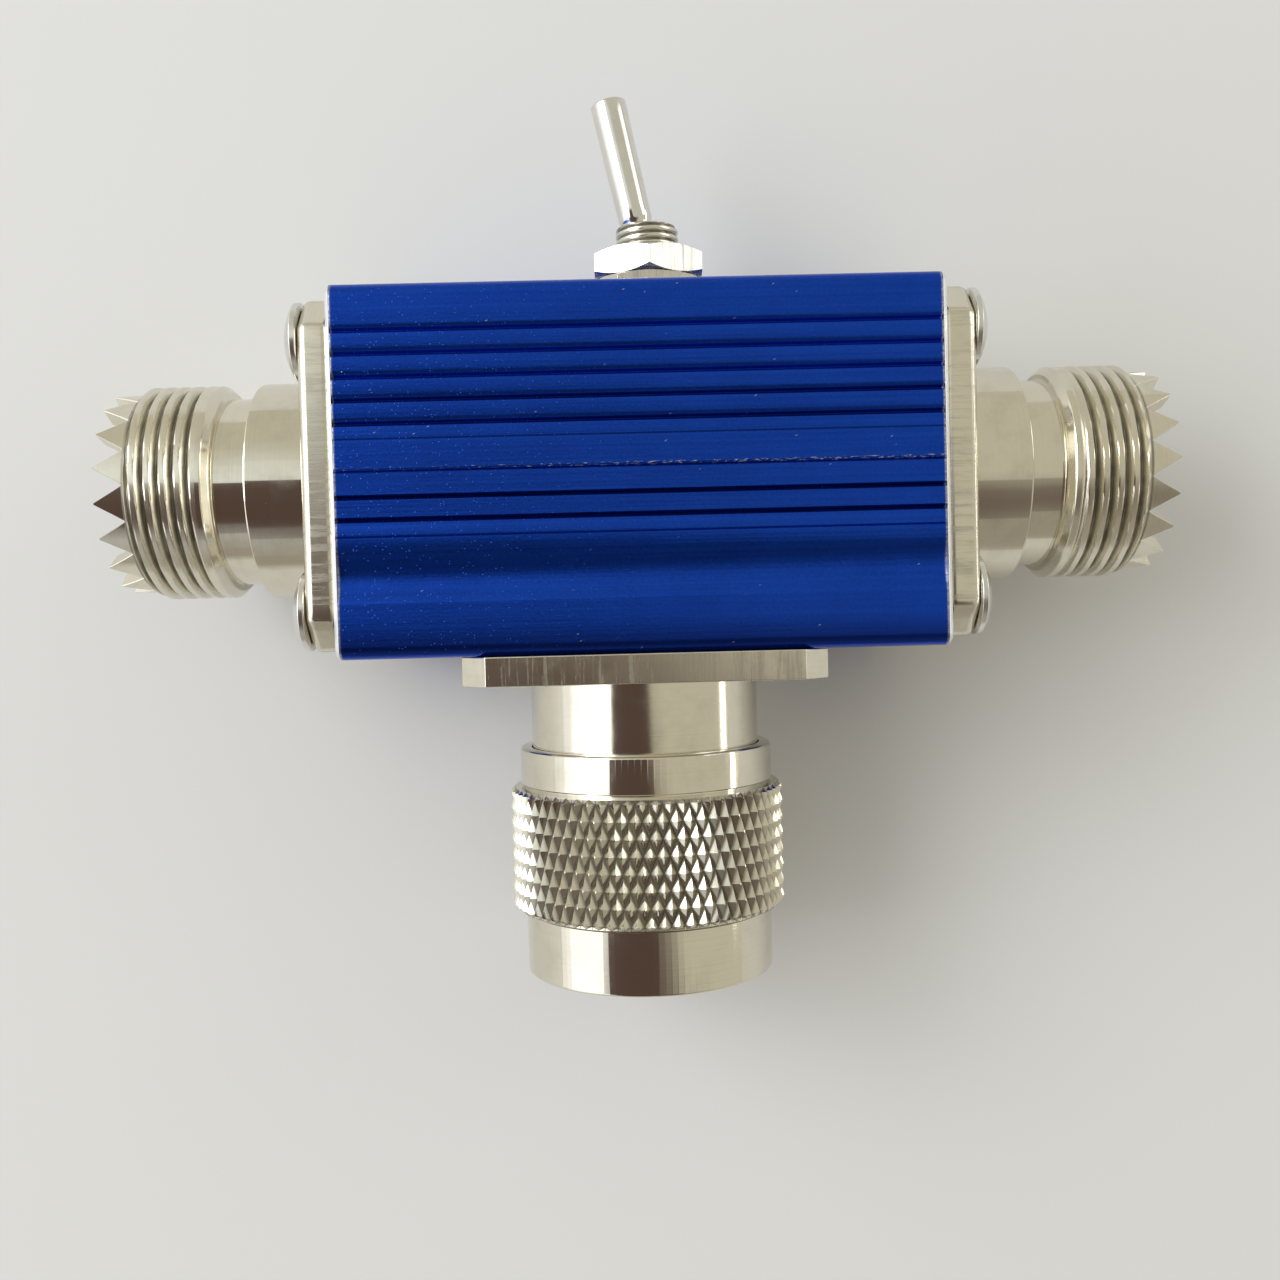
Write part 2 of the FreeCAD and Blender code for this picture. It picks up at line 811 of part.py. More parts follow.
def plug_body():
    body = new_body("plug_body")
    side, cut = S.case_width - S.plug_flange_inset * 2, S.plug_flange_cut
    flange(body, side, cut, half_width, S.plug_flange_thick, S.plug_flange_soft)
    turned(
        body,
        [
            (0, half_width - S.spigot_length),
            (S.spigot_radius, half_width - S.spigot_length),
            (S.spigot_radius, half_width),
            (S.neck_radius, half_width),
            (S.neck_radius, snap_rear - S.fit_gap),
            (S.snap_seat_radius, snap_rear - S.fit_gap),
            (S.snap_seat_radius, snap_front + S.fit_gap),
            (S.neck_radius, snap_front + S.fit_gap),
            (S.neck_radius, neck_front),
            (S.shoulder_radius, neck_front),
            (S.shoulder_radius, shoulder_front),
            (S.nose_radius, shoulder_front),
            (S.nose_radius, nose_front),
            (0, nose_front),
        ],
    )
    low = half_width - S.spigot_length
    turned(
        body,
        [
            (0, low - 1),
            (S.nose_bore + S.plug_step, low - 1),
            (S.nose_bore + S.plug_step, low + S.plug_step_length),
            (S.nose_bore, low + S.plug_step_length),
            (S.nose_bore, nose_front + 1),
            (0, nose_front + 1),
        ],
        cut=True,
    )
    for role in ("XZ_Plane", "YZ_Plane"):
        slot = rectangle(S.nose_slot / 2, nose_front - S.nose_slot_length, nose_front + 1)
        pocket(body, draw(body, role, [slot]))
    clear = S.screw_radius + S.screw_clearance
    wide = S.plug_screw_head + S.fit_gap
    sink = turned(
        body,
        [
            (0, half_width - 1),
            (clear, half_width - 1),
            (clear, plug_flange_outer - S.plug_screw_sink),
            (wide, plug_flange_outer),
            (wide, plug_flange_outer + 1),
            (0, plug_flange_outer + 1),
        ],
        cut=True,
        aside=screw_place,
        lift=screw_place,
    )
    around(body, sink, 4)
    return body


def plug_insulator():
    body = new_body("plug_insulator")
    low = half_width - S.spigot_length
    outer = S.nose_bore - S.fit_gap
    hole = S.pin_root_radius + S.fit_gap
    turned(
        body,
        [
            (hole, low - S.plug_boss_length),
            (S.plug_boss_radius, low - S.plug_boss_length),
            (S.plug_boss_radius, low),
            (outer + S.plug_step, low),
            (outer + S.plug_step, low + S.plug_step_length - S.fit_gap),
            (outer, low + S.plug_step_length - S.fit_gap),
            (outer, plug_insulator_front),
            (hole, plug_insulator_front),
        ],
    )
    return body


def plug_pin():
    body = new_body("plug_pin")
    collar_top = half_width - S.spigot_length - S.plug_boss_length - S.fit_gap
    collar_low = collar_top - S.collar_length
    cup_end = collar_low - S.pin_cup_length
    turned(
        body,
        [
            (0, cup_end + S.pin_cup_depth),
            (S.pin_bore, cup_end + S.pin_cup_depth),
            (S.pin_bore, cup_end),
            (S.cup_radius, cup_end),
            (S.cup_radius, collar_low),
            (S.collar_radius, collar_low),
            (S.collar_radius, collar_top),
            (S.pin_root_radius, collar_top),
            (S.pin_root_radius, plug_insulator_front + S.fit_gap),
            (S.pin_radius, plug_insulator_front + S.fit_gap),
            (S.pin_radius, pin_tip - S.pin_radius, S.pin_radius),
            (0, pin_tip),
        ],
    )
    return body


def coupling_ring():
    """The loose ring: a lip that runs on the neck, a cavity for the snap ring, and the coupling thread's bore."""
    body = new_body("plug_coupling_ring")
    band = ring_rear + S.collar_band_length
    knurl_low = band + S.undercut
    knurl_high = knurl_low + S.knurl_length
    front_low = knurl_high + S.undercut
    front = front_low + S.front_band_length
    lip_bore = S.neck_radius + S.ring_gap
    turned(
        body,
        [
            (lip_bore, ring_rear),
            (S.collar_band_radius - S.ring_edge, ring_rear),
            (S.collar_band_radius, ring_rear + S.ring_edge),
            (S.collar_band_radius, band),
            (S.undercut_radius, band),
            (S.undercut_radius, knurl_low),
            (S.knurl_radius - S.knurl_chamfer, knurl_low),
            (S.knurl_radius, knurl_low + S.knurl_chamfer),
            (S.knurl_radius, knurl_high - S.knurl_chamfer),
            (S.knurl_radius - S.knurl_chamfer, knurl_high),
            (S.undercut_radius, knurl_high),
            (S.undercut_radius, front_low),
            (S.front_band_radius, front_low),
            (S.front_band_radius, front - S.ring_edge),
            (S.front_band_radius - S.ring_edge, front),
            (S.ring_thread_radius + S.thread_start, front),
            (S.ring_thread_radius, front - S.thread_start),
            (S.ring_thread_radius, ring_cavity_front),
            (S.ring_cavity_radius, ring_cavity_front),
            (S.ring_cavity_radius, lip_front),
            (lip_bore, lip_front),
        ],
    )
    return body


def snap_ring():
    body = new_body("plug_snap_ring")
    turned(
        body,
        [
            (S.snap_bore, snap_rear),
            (S.snap_radius, snap_rear),
            (S.snap_radius, snap_front),
            (S.snap_bore, snap_front),
        ],
    )
    split = rectangle(S.snap_split / 2, snap_rear - 1, snap_front + 1)
    pocket(body, draw(body, "XZ_Plane", [split]), S.snap_radius + 1)
    return body


def countersunk_screws():
    body = new_body("plug_screws")
    tip = plug_flange_outer - S.plug_screw_length
    screw = turned(
        body,
        [
            (0, tip),
            (S.screw_radius - S.screw_point, tip),
            (S.screw_radius, tip + S.screw_point),
            (S.screw_radius, plug_flange_outer - S.plug_screw_sink),
            (S.plug_screw_head, plug_flange_outer),
            (0, plug_flange_outer),
        ],
        aside=screw_place,
        lift=screw_place,
    )
    around(body, screw, 4)
    return body


def plug():
    for body in (
        plug_body(), plug_insulator(), plug_pin(), coupling_ring(), snap_ring(), countersunk_screws(),
    ):
        place(body, TO_PLUG)


# ---------------------------------------------------------------- toggle switch


def toggle_bushing():
    """The threaded bushing on its rectangular base, bored for the lever and cross-drilled for the pivot pin."""
    body = new_body("toggle_bushing")
    base = rectangle(S.base_length / 2, -S.base_width / 2, S.base_width / 2)
    pad(body, draw(body, "XY_Plane", [base], lift=base_low), S.base_thick)
    top = half_width + S.bushing_height
    turned(
        body,
        [
            (0, base_low),
            (S.bushing_radius, base_low),
            (S.bushing_radius, top - S.bushing_edge),
            (S.bushing_radius - S.bushing_edge, top),
            (0, top),
        ],
    )
    step = toggle_pivot - S.ball_radius + S.tail_room_top
    turned(
        body,
        [
            (0, base_low - 1),
            (S.tail_room, base_low - 1),
            (S.tail_room, step - S.tail_room_top),
            (S.bushing_bore, step),
            (S.bushing_bore, top + 1),
            (0, top + 1),
        ],
        cut=True,
    )
    pocket(body, draw(body, "XZ_Plane", circles=[(0, toggle_pivot, S.pivot_radius + S.pivot_gap / 2)]))
    return body


def toggle_frame():
    """The sheet-metal bracket: a plate under the case wall with a leg down each long side of the housing."""
    body = new_body("toggle_frame")
    half, inside = S.housing_length / 2, S.housing_width / 2 + S.fit_gap
    outside = inside + S.frame_thick
    plate = rectangle(half, -outside, outside)
    pad(body, draw(body, "XY_Plane", [plate], lift=frame_low), S.frame_thick)
    legs = [
        rectangle(S.frame_leg / 2, inside, outside),
        rectangle(S.frame_leg / 2, -outside, -inside),
    ]
    leg_low = housing_low + S.frame_leg_short
    pad(body, draw(body, "XY_Plane", legs, lift=leg_low), inner_half - leg_low)
    hole = draw(body, "XY_Plane", circles=[(0, 0, S.bushing_radius + S.thread_room)])
    pocket(body, hole)
    return body


def toggle_housing():
    body = new_body("toggle_housing")
    half, wide = S.housing_length / 2, S.housing_width / 2
    block = draw(body, "XY_Plane", [rectangle(half, -wide, wide)], lift=housing_low)
    pad(body, block, base_low - housing_low)
    room = rectangle(half - S.housing_wall, S.housing_wall - wide, wide - S.housing_wall)
    pocket(body, draw(body, "XY_Plane", [room], lift=base_low), base_low - floor_top)
    slots = []
    half_thick, half_wide = S.terminal_thick / 2 + S.fit_gap, S.terminal_width / 2 + S.fit_gap
    for side in (-1, 0, 1):
        middle = terminal_place * side
        slots.append(
            [
                (middle - half_thick, -half_wide),
                (middle + half_thick, -half_wide),
                (middle + half_thick, half_wide),
                (middle - half_thick, half_wide),
            ]
        )
    pocket(body, draw(body, "XY_Plane", slots))
    return body


def side_terminal(label, side):
    """A flat solder tab through the floor with a contact stud on top."""
    body = new_body(label)
    middle = terminal_place * side
    half_thick, half_wide = S.terminal_thick / 2, S.terminal_width / 2
    tab = [
        (middle - half_thick, -half_wide),
        (middle + half_thick, -half_wide),
        (middle + half_thick, half_wide),
        (middle - half_thick, half_wide),
    ]
    low = housing_low - S.terminal_length
    pad(body, draw(body, "XY_Plane", [tab], lift=low), S.terminal_length + S.housing_floor)
    stud = draw(body, "XY_Plane", circles=[(middle, 0, S.stud_radius)], lift=floor_top)
    pad(body, stud, stud_top - floor_top)
    pocket(body, draw(body, "YZ_Plane", circles=[(0, 0, S.wire_hole)]))
    return body


def centre_terminal():
    """The middle solder tab runs up to the rounded post that the rocker tilts on."""
    body = new_body("toggle_centre_terminal")
    tab = rectangle(post_radius, housing_low - S.terminal_length, rocker_pivot)
    pad(body, draw(body, "XZ_Plane", [tab]), S.terminal_width, both_ways=True)
    crest = draw(body, "XZ_Plane", circles=[(0, rocker_pivot, post_radius)])
    pad(body, crest, S.terminal_width, both_ways=True)
    return body


def toggle_rocker():
    """The moving contact, drawn about its pivot: a flat saddle with an arm bent down to each side."""
    body = new_body("toggle_rocker")
    top = rocker_top - rocker_pivot
    under = top - S.rocker_thick
    strip = [
        (-rocker_half, top - S.rocker_drop - S.rocker_thick),
        (-S.rocker_flat, under),
        (S.rocker_flat, under),
        (rocker_half, top - S.rocker_drop - S.rocker_thick),
        (rocker_half, top - S.rocker_drop),
        (S.rocker_flat, top),
        (-S.rocker_flat, top),
        (-rocker_half, top - S.rocker_drop),
    ]
    pad(body, draw(body, "XZ_Plane", [strip]), S.rocker_width, both_ways=True)
    return body


def toggle_lever():
    """The bat lever, drawn upright about its pivot: tapered bat, ball, and a bored tail for the spring."""
    body = new_body("toggle_lever")
    ball, neck, tip, tail = S.ball_radius, S.lever_neck_radius, S.lever_tip_radius, S.tail_radius
    end = tip - S.lever_edge
    dome = (end * end + S.lever_dome * S.lever_dome) / (S.lever_dome * 2)
    end_low = S.lever_reach - S.lever_dome
    turned(
        body,
        [
            (0, -S.tail_bore_end),
            (S.tail_bore, -S.tail_bore_end),
            (S.tail_bore, -S.tail_length),
            (tail, -S.tail_length),
            (tail, -root(ball * ball - tail * tail), ball),
            (neck, root(ball * ball - neck * neck)),
            (neck, S.lever_neck_end),
            (S.lever_base_radius, S.lever_base_start),
            (tip, end_low - S.lever_edge, S.lever_edge),
            (end, end_low, dome),
            (0, S.lever_reach),
        ],
    )
    pocket(body, draw(body, "XZ_Plane", circles=[(0, 0, S.pivot_radius + S.pivot_gap)]))
    return body


def toggle_plunger():
    body = new_body("toggle_plunger")
    radius = S.plunger_radius
    turned(
        body,
        [
            (0, -S.plunger_tip, radius),
            (radius, radius - S.plunger_tip),
            (radius, -S.plunger_top),
            (0, -S.plunger_top),
        ],
    )
    return body


def toggle_spring():
    """A coil spring between the plunger and the end of the lever's bore."""
    body = new_body("toggle_spring")
    wire = S.spring_wire / 2
    low = S.fit_gap + wire - S.plunger_top
    high = -S.tail_bore_end - S.fit_gap - wire
    section = draw(body, "XZ_Plane", circles=[(S.spring_radius, low, wire)])
    coil = body.newObject("PartDesign::AdditiveHelix", "toggle_spring_coil")
    coil.Profile = section
    coil.ReferenceAxis = (section, ["V_Axis"])
    coil.Mode = "height-turns-angle"
    bind(coil, "Height", high - low)
    bind(coil, "Turns", S.spring_turns)
    coil.Angle = 0
    return body


def pivot_pin():
    body = new_body("toggle_pivot_pin")
    pin = draw(body, "XZ_Plane", circles=[(0, 0, S.pivot_radius)])
    pad(body, pin, S.pivot_length, both_ways=True)
    return body


def hexagon(flats, first_corner):
    """The corners of a hexagon, the first one at this angle in degrees."""
    corner_radius = flats / 2 / math.cos(math.pi / 6)
    corners = []
    for index in range(6):
        angle = math.radians(first_corner + 60 * index)
        corners.append((corner_radius * round(math.cos(angle), 12), corner_radius * round(math.sin(angle), 12)))
    return corners


# how a nut is turned on the bushing: the angle of its first corner
FLAT_TO_FRONT, CORNER_TO_FRONT = 0, 30


def hex_nut(label, low, first_corner):
    """A hexagon nut, its corners turned off at both ends, bored to clear the bushing."""
    body = new_body(label)
    pad(body, draw(body, "XY_Plane", [hexagon(S.nut_flats, first_corner)], lift=low), S.nut_thick)
    flats, far = S.nut_flats / 2, S.nut_flats
    slope = math.tan(math.radians(S.nut_chamfer_angle.number))
    high = low + S.nut_thick
    for end, inward in ((low, 1), (high, -1)):
        turned(
            body,
            [
                (flats, end),
                (far, end),
                (far, end + (far - flats) * (slope * inward)),
            ],
            cut=True,
        )
    bore = S.bushing_radius + S.thread_room
    pocket(body, draw(body, "XY_Plane", circles=[(0, 0, bore)]))
    return body


def lock_washer():
    body = new_body("toggle_lock_washer")
    bore = S.bushing_radius + S.thread_room
    ring = draw(
        body, "XY_Plane", circles=[(0, 0, S.washer_radius), (0, 0, bore)], lift=half_width
    )
    pad(body, ring, S.washer_thick)
    notch_half = S.washer_notch / 2
    slot = [
        (bore - S.washer_notch, -notch_half),
        (bore + S.washer_notch, -notch_half),
        (bore + S.washer_notch, notch_half),
        (bore - S.washer_notch, notch_half),
    ]
    cut = pocket(body, draw(body, "XY_Plane", [slot]))
    around(body, cut, S.washer_teeth)
    return body


def toggle():
    nut_low = half_width + S.washer_thick
    fixed = [
        toggle_bushing(),
        toggle_frame(),
        toggle_housing(),
        side_terminal("toggle_left_terminal", -1),
        centre_terminal(),
        side_terminal("toggle_right_terminal", 1),
        lock_washer(),
        hex_nut("toggle_lower_nut", nut_low, FLAT_TO_FRONT),
        hex_nut("toggle_upper_nut", nut_low + S.nut_thick, CORNER_TO_FRONT),
    ]
    for body in fixed:
        place(body, TO_TOGGLE, x=S.toggle_place)
    place(pivot_pin(), TO_TOGGLE, x=S.toggle_place, y=toggle_pivot)
    lean = Rotation(Vector(0, 0, 1), S.lever_lean.number)
    for body in (toggle_lever(), toggle_plunger(), toggle_spring()):
        place(body, lean * TO_TOGGLE, x=S.toggle_place, y=toggle_pivot)
    tilt = Rotation(Vector(0, 0, 1), -S.rocker_tilt.number)
    place(toggle_rocker(), tilt * TO_TOGGLE, x=S.toggle_place, y=rocker_pivot)


# ---------------------------------------------------------------- jumper wires


def wires():
    """Straight tinned wires from each solder cup to its terminal."""
    cup_floor = flange_face - S.boss_length - S.fit_gap - S.collar_length - S.cup_length + S.cup_depth
    for side, name in ((-1, "left_wire"), (1, "right_wire")):
        body = new_body(name)
        inner = terminal_place + S.toggle_place * side - S.wire_beyond
        start = cup_floor - S.wire_end_room
        section = draw(body, "XY_Plane", circles=[(0, 0, S.wire_radius)], lift=inner)
        pad(body, section, start - inner)
        place(body, TO_RIGHT if side > 0 else TO_LEFT)
    body = new_body("centre_wire")
    spigot_low = half_width - S.spigot_length
    cup_end = spigot_low - S.plug_boss_length - S.fit_gap - S.collar_length - S.pin_cup_length
    start = cup_end + S.pin_cup_depth - S.wire_end_room
    end = S.wire_stop - housing_low
    pad(body, draw(body, "XY_Plane", circles=[(0, 0, S.wire_radius)], lift=end), start - end)
    beside = S.toggle_place - S.terminal_thick / 2 - S.wire_radius - S.fit_gap
    place(body, TO_PLUG, x=beside)


# ---------------------------------------------------------------- build, check and export


def check_document():
    """Stop if any object failed, or if a sub-part is empty or not valid."""
    failed = [item.Name for item in doc.Objects if {"Invalid", "Error"} & set(item.State)]
    bodies = [item for item in doc.Objects if item.TypeId == "PartDesign::Body"]
    for body in bodies:
        if body.Shape.isNull() or not body.Shape.Solids or not body.Shape.isValid():
            failed.append(body.Label)
    if failed:
        raise RuntimeError("failed: " + ", ".join(failed))
    return bodies


def main():
    case()
    receptacles()
    plug()
    toggle()
    wires()
    doc.recompute()
    os.makedirs("parts", exist_ok=True)
    for body in check_document():
        body.Shape.exportStep(f"parts/{body.Label}.step")
        box = body.Shape.BoundBox
        print(
            f"{body.Label:26s} {len(body.Shape.Solids)} solid(s) {body.Shape.Volume:9.2f} mm3"
            f"  x {box.XMin:7.2f} {box.XMax:7.2f}  y {box.YMin:7.2f} {box.YMax:7.2f}"
            f"  z {box.ZMin:7.2f} {box.ZMax:7.2f}"
        )


main()
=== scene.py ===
# %% [markdown]
# # A coaxial antenna switch
# A square case of blue anodised aluminium carries a screw-on receptacle on each end, a plug with a loose coupling
# ring on one side and a small toggle switch on the other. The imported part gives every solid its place. This lesson
# adds what a lathe, a plating bath and some years of use leave on them: threads, a knurl, screw recesses, softened
# edges, and a finish for every metal and plastic.

import math

import bmesh
import bpy
from mathutils import Matrix, Vector


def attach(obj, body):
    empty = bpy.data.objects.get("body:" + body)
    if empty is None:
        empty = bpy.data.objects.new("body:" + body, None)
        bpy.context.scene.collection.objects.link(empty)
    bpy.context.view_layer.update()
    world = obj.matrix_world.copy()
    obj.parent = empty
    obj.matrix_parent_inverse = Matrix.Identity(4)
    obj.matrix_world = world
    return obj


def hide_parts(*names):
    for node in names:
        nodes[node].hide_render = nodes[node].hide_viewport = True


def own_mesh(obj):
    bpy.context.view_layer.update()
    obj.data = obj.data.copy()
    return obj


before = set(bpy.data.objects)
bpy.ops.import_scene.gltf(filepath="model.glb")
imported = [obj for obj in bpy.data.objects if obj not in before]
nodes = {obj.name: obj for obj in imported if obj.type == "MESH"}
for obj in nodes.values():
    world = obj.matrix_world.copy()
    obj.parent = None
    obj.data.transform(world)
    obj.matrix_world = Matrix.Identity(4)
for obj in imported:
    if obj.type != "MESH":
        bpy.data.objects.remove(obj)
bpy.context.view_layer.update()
MM = 0.001
AXIS_HEIGHT = 12.5
HALF_CASE, CASE_END = 12.5, 20.35

# %% [markdown]
# ## The camera
# The part lies on its back and is seen from straight above, from close by, so the ends lean away from the middle of
# the view. A long lens far away would flatten that. Three small turns and a place, in millimetres from the crossing
# of the two main axes, give the view.

# %% Camera
SENSOR_WIDTH = 36.0
FOCAL_LENGTH, FRAME_WIDTH = 1275.1, 1280  # both in pixels of the frame
TURN_Y, TURN_X, TURN_Z = -0.0114, -0.0257, -0.0256
CAMERA_OFFSET = Vector((0.104, -11.940, 97.020))

camera_data = bpy.data.cameras.new("camera")
camera_data.sensor_width = SENSOR_WIDTH
camera_data.lens = SENSOR_WIDTH * FOCAL_LENGTH / FRAME_WIDTH
camera_data.clip_start = MM
camera_turn = (
    Matrix.Rotation(TURN_Y, 3, "Y") @ Matrix.Rotation(TURN_X, 3, "X") @ Matrix.Rotation(TURN_Z, 3, "Z")
)
camera_place = camera_turn @ CAMERA_OFFSET + Vector((0, 0, AXIS_HEIGHT))
camera = bpy.data.objects.new("camera", camera_data)
camera.matrix_world = Matrix.Translation(camera_place * MM) @ camera_turn.to_4x4()
bpy.context.scene.collection.objects.link(camera)
bpy.context.scene.camera = camera
print("camera stands", round(camera_place.z, 1), "mm above the floor")

# %% [markdown]
# ## Shader arithmetic
# A finish is easier to read as a sum than as a web of nodes. A small class wraps one socket, so that
# `base + 0.2 * speckle` adds its own Math nodes. Every other node comes from one method that takes the node's type,
# its settings and what its sockets get. Colours stay out of the Math node, which would turn them grey, and go
# through a Mix node instead.


# %% A socket that takes part in arithmetic
class Wire:
    def __init__(self, finish, socket):
        self.finish = finish
        self.socket = socket

    def math(self, operation, *others):
        return self.finish.add("ShaderNodeMath", {"operation": operation}, dict(enumerate((self, *others))))

    def __add__(self, other):
        return self.math("ADD", other)

    __radd__ = __add__

    def __mul__(self, other):
        return self.math("MULTIPLY", other)

    __rmul__ = __mul__

    def __sub__(self, other):
        return self.math("SUBTRACT", other)

    def __rsub__(self, other):
        return self.finish.add("ShaderNodeMath", {"operation": "SUBTRACT"}, {0: other, 1: self})

    def __abs__(self):
        return self.math("ABSOLUTE")

    def least(self, other):
        return self.math("MINIMUM", other)

    def most(self, other):
        return self.math("MAXIMUM", other)

    def rise(self, low, high):
        """0 below low, 1 above high, and a soft step between them; low may be the larger one."""
        return self.finish.add(
            "ShaderNodeMapRange",
            {"interpolation_type": "SMOOTHSTEP"},
            {"Value": self, "From Min": low, "From Max": high},
        )


print("sockets can now be added, multiplied and stepped")


# %% A node tree and the two things that are done to it: adding a node and feeding a socket
def colour4(colour):
    return colour if isinstance(colour, Wire) else (*colour, 1)


class Tree:
    def __init__(self, owner):
        owner.use_nodes = True
        self.nodes = owner.node_tree.nodes
        self.links = owner.node_tree.links

    def add(self, kind, settings=None, inputs=None, out=0):
        """A node of this type, with its settings made first and then its sockets; gives one of its outputs."""
        node = self.nodes.new(kind)
        for name, value in (settings or {}).items():
            setattr(node, name, value)
        for name, value in (inputs or {}).items():
            self.feed(node.inputs[name], value)
        return Wire(self, node.outputs[out])

    def feed(self, socket, value):
        if isinstance(value, Wire):
            self.links.new(value.socket, socket)
        else:
            socket.default_value = value

    def blend(self, factor, first, second):
        """A colour between two: the first where the factor is 0, the second where it is 1."""
        settings = {"data_type": "RGBA"}
        return self.add("ShaderNodeMix", settings, {0: factor, 6: colour4(first), 7: colour4(second)}, out=2)


print("node trees can be written as sums")


# %% One finish: its coordinates, its marks and its shader
class Finish(Tree):
    def __init__(self, name, base, metallic=0.0, roughness=0.5, **settings):
        self.material = bpy.data.materials.new(name)
        self.material.diffuse_color = (*base, 1)
        super().__init__(self.material)
        self.shader = self.nodes["Principled BSDF"]
        self.set(**{"Base Color": (*base, 1), "Metallic": metallic, "Roughness": roughness})
        self.set(**settings)

    def set(self, **sockets):
        for name, value in sockets.items():
            self.feed(self.shader.inputs[name.replace("_", " ")], value)

    def millimetres(self):
        """The place of a point in the part's own frame, in millimetres: x, y, z."""
        if not hasattr(self, "place"):
            metres = self.add("ShaderNodeTexCoord", out="Object")
            self.point = self.add("ShaderNodeVectorMath", {"operation": "SCALE"}, {0: metres, "Scale": 1 / MM})
            self.place = [self.add("ShaderNodeSeparateXYZ", inputs={0: self.point}, out=i) for i in range(3)]
        return self.place

    def vector(self, x, y=0.0, z=0.0):
        return self.add("ShaderNodeCombineXYZ", inputs={0: x, 1: y, 2: z})

    def noise(self, scale, where=None, detail=2.0, roughness=0.5):
        """Soft random values from 0 to 1, most of them near a half. scale is in features a millimetre."""
        self.millimetres()
        inputs = {"Vector": where or self.point, "Scale": scale, "Detail": detail, "Roughness": roughness}
        return self.add("ShaderNodeTexNoise", inputs=inputs)

    def specks(self, scale, size, share, where=None):
        """1 in small round spots on a share of the cells of a random lattice, 0 elsewhere."""
        self.millimetres()
        cells = {"Vector": where or self.point, "Scale": scale}
        distance = self.add("ShaderNodeTexVoronoi", inputs=cells, out="Distance")
        colour = self.add("ShaderNodeTexVoronoi", inputs=cells, out="Color")
        pick = self.add("ShaderNodeSeparateColor", inputs={0: colour})
        return distance.rise(size, size * 0.5) * pick.rise(1 - share, 1 - share + 0.02)

    def bump(self, height, depth):
        """Raise the surface by the height, which is in millimetres when depth is 1."""
        normal = self.add("ShaderNodeBump", inputs={"Height": height, "Distance": depth * MM, "Strength": 1.0})
        self.set(Normal=normal)


print("a finish starts from the Principled shader")

# %% [markdown]
# ## Blue anodised aluminium
# The two halves of the case are drawn through a die, so faint lines run along them. Anodising leaves a satin,
# slightly cloudy colour: the dye sits in a clear hard layer over the metal, so the finish is partly metallic with a
# thin coat. The grooves are painted darker, as painted shade, and so is the strip between the flute and the corner,
# a painted shade band. The sawn ends are worn to bare metal, and along the seam the layer has chipped off in small
# flecks. Dust and a few short nicks lie over all of it. Each of these is one mask.


# %% Case finish
DEEP_BLUE, BRIGHT_BLUE = (0.0022, 0.039, 0.360), (0.0062, 0.069, 0.545)
# The next two colours are painted shade: a darker blue for the grooves and for the strip beside the flute.
GROOVE_SHADE_BLUE, STRIP_SHADE_BLUE = (0.002, 0.008, 0.110), (0.0018, 0.009, 0.125)
CHIPPED_METAL, DUST = (0.56, 0.58, 0.64), (0.26, 0.37, 0.74)
SEAM_PLACE = 0.13


def anodised_blue():
    finish = Finish("case_blue", (0.004, 0.050, 0.400), metallic=0.88, roughness=0.26)
    finish.set(**{"Coat Weight": 0.05, "Coat Roughness": 0.2})
    x, y, z = finish.millimetres()
    drawn = finish.noise(1.0, finish.vector(x * 0.03, y * 5.0, z * 5.0), detail=4.0, roughness=0.7)
    cloud = finish.noise(0.30, detail=3.0)
    satin = finish.noise(6.0, detail=3.0, roughness=0.75)
    facing = abs(z - AXIS_HEIGHT)
    across = abs(y)
    depth = HALF_CASE - facing
    outer_face = facing.rise(12.0, 12.3)
    # Painted shade: the colour is darkened inside the grooves on the outer faces.
    painted_groove_shade = depth.rise(0.03, 0.22) * facing.rise(11.6, 11.9) * across.rise(5.5, 5.3)
    shade = (0.40 * drawn.rise(0.30, 0.70) + 0.45 * satin.rise(0.30, 0.70) + 0.15 * cloud.rise(0.35, 0.65)).least(1.0)
    colour = finish.blend(shade, DEEP_BLUE, BRIGHT_BLUE)
    colour = finish.blend(painted_groove_shade * 0.35, colour, GROOVE_SHADE_BLUE)
    # Painted shade: the strip between the flute and the corner is darkened in the colour.
    painted_strip_shade = across.rise(9.9, 12.0) * (y * (z - AXIS_HEIGHT)).rise(0.0, -20.0) * outer_face
    colour = finish.blend(painted_strip_shade * 0.60, colour, STRIP_SHADE_BLUE)
    chips = finish.noise(3.0, finish.vector(x * 0.7, y * 3.5, z), detail=3.0, roughness=0.7)
    more_right = x.rise(-16.0, 6.0) * 0.06
    flecks = (chips + more_right).rise(0.61, 0.66) * abs(y - SEAM_PLACE).rise(0.16, 0.06) * outer_face
    ends = abs(x).rise(CASE_END - 0.19, CASE_END - 0.05) * (0.35 + 0.65 * chips.rise(0.40, 0.60))
    nicks = finish.specks(0.8, 0.11, 0.10, finish.vector(x + y * 0.5, (y - x * 0.5) * 3.5, z)) * 0.6
    left = x.rise(8.0, -18.0)
    dust = finish.specks(1.6, 0.045, 0.10) * (0.3 + 0.5 * left) + finish.specks(4.6, 0.22, 0.30) * (0.04 + 0.42 * left)
    dust = dust.least(1.0)
    colour = finish.blend(flecks.most(ends).most(nicks), colour, CHIPPED_METAL)
    colour = finish.blend(dust * 0.32, colour, DUST)
    finish.set(Base_Color=colour, Metallic=(0.88 - dust * 0.3).most(0.0))
    finish.set(Roughness=0.17 + 0.12 * satin + 0.08 * (drawn - 0.5) + 0.2 * dust)
    finish.bump(satin * 0.013 + drawn * 0.010 + dust * 0.02, 1.0)
    return finish.material


case_blue = anodised_blue()
print("case finish has", len(case_blue.node_tree.nodes), "nodes")

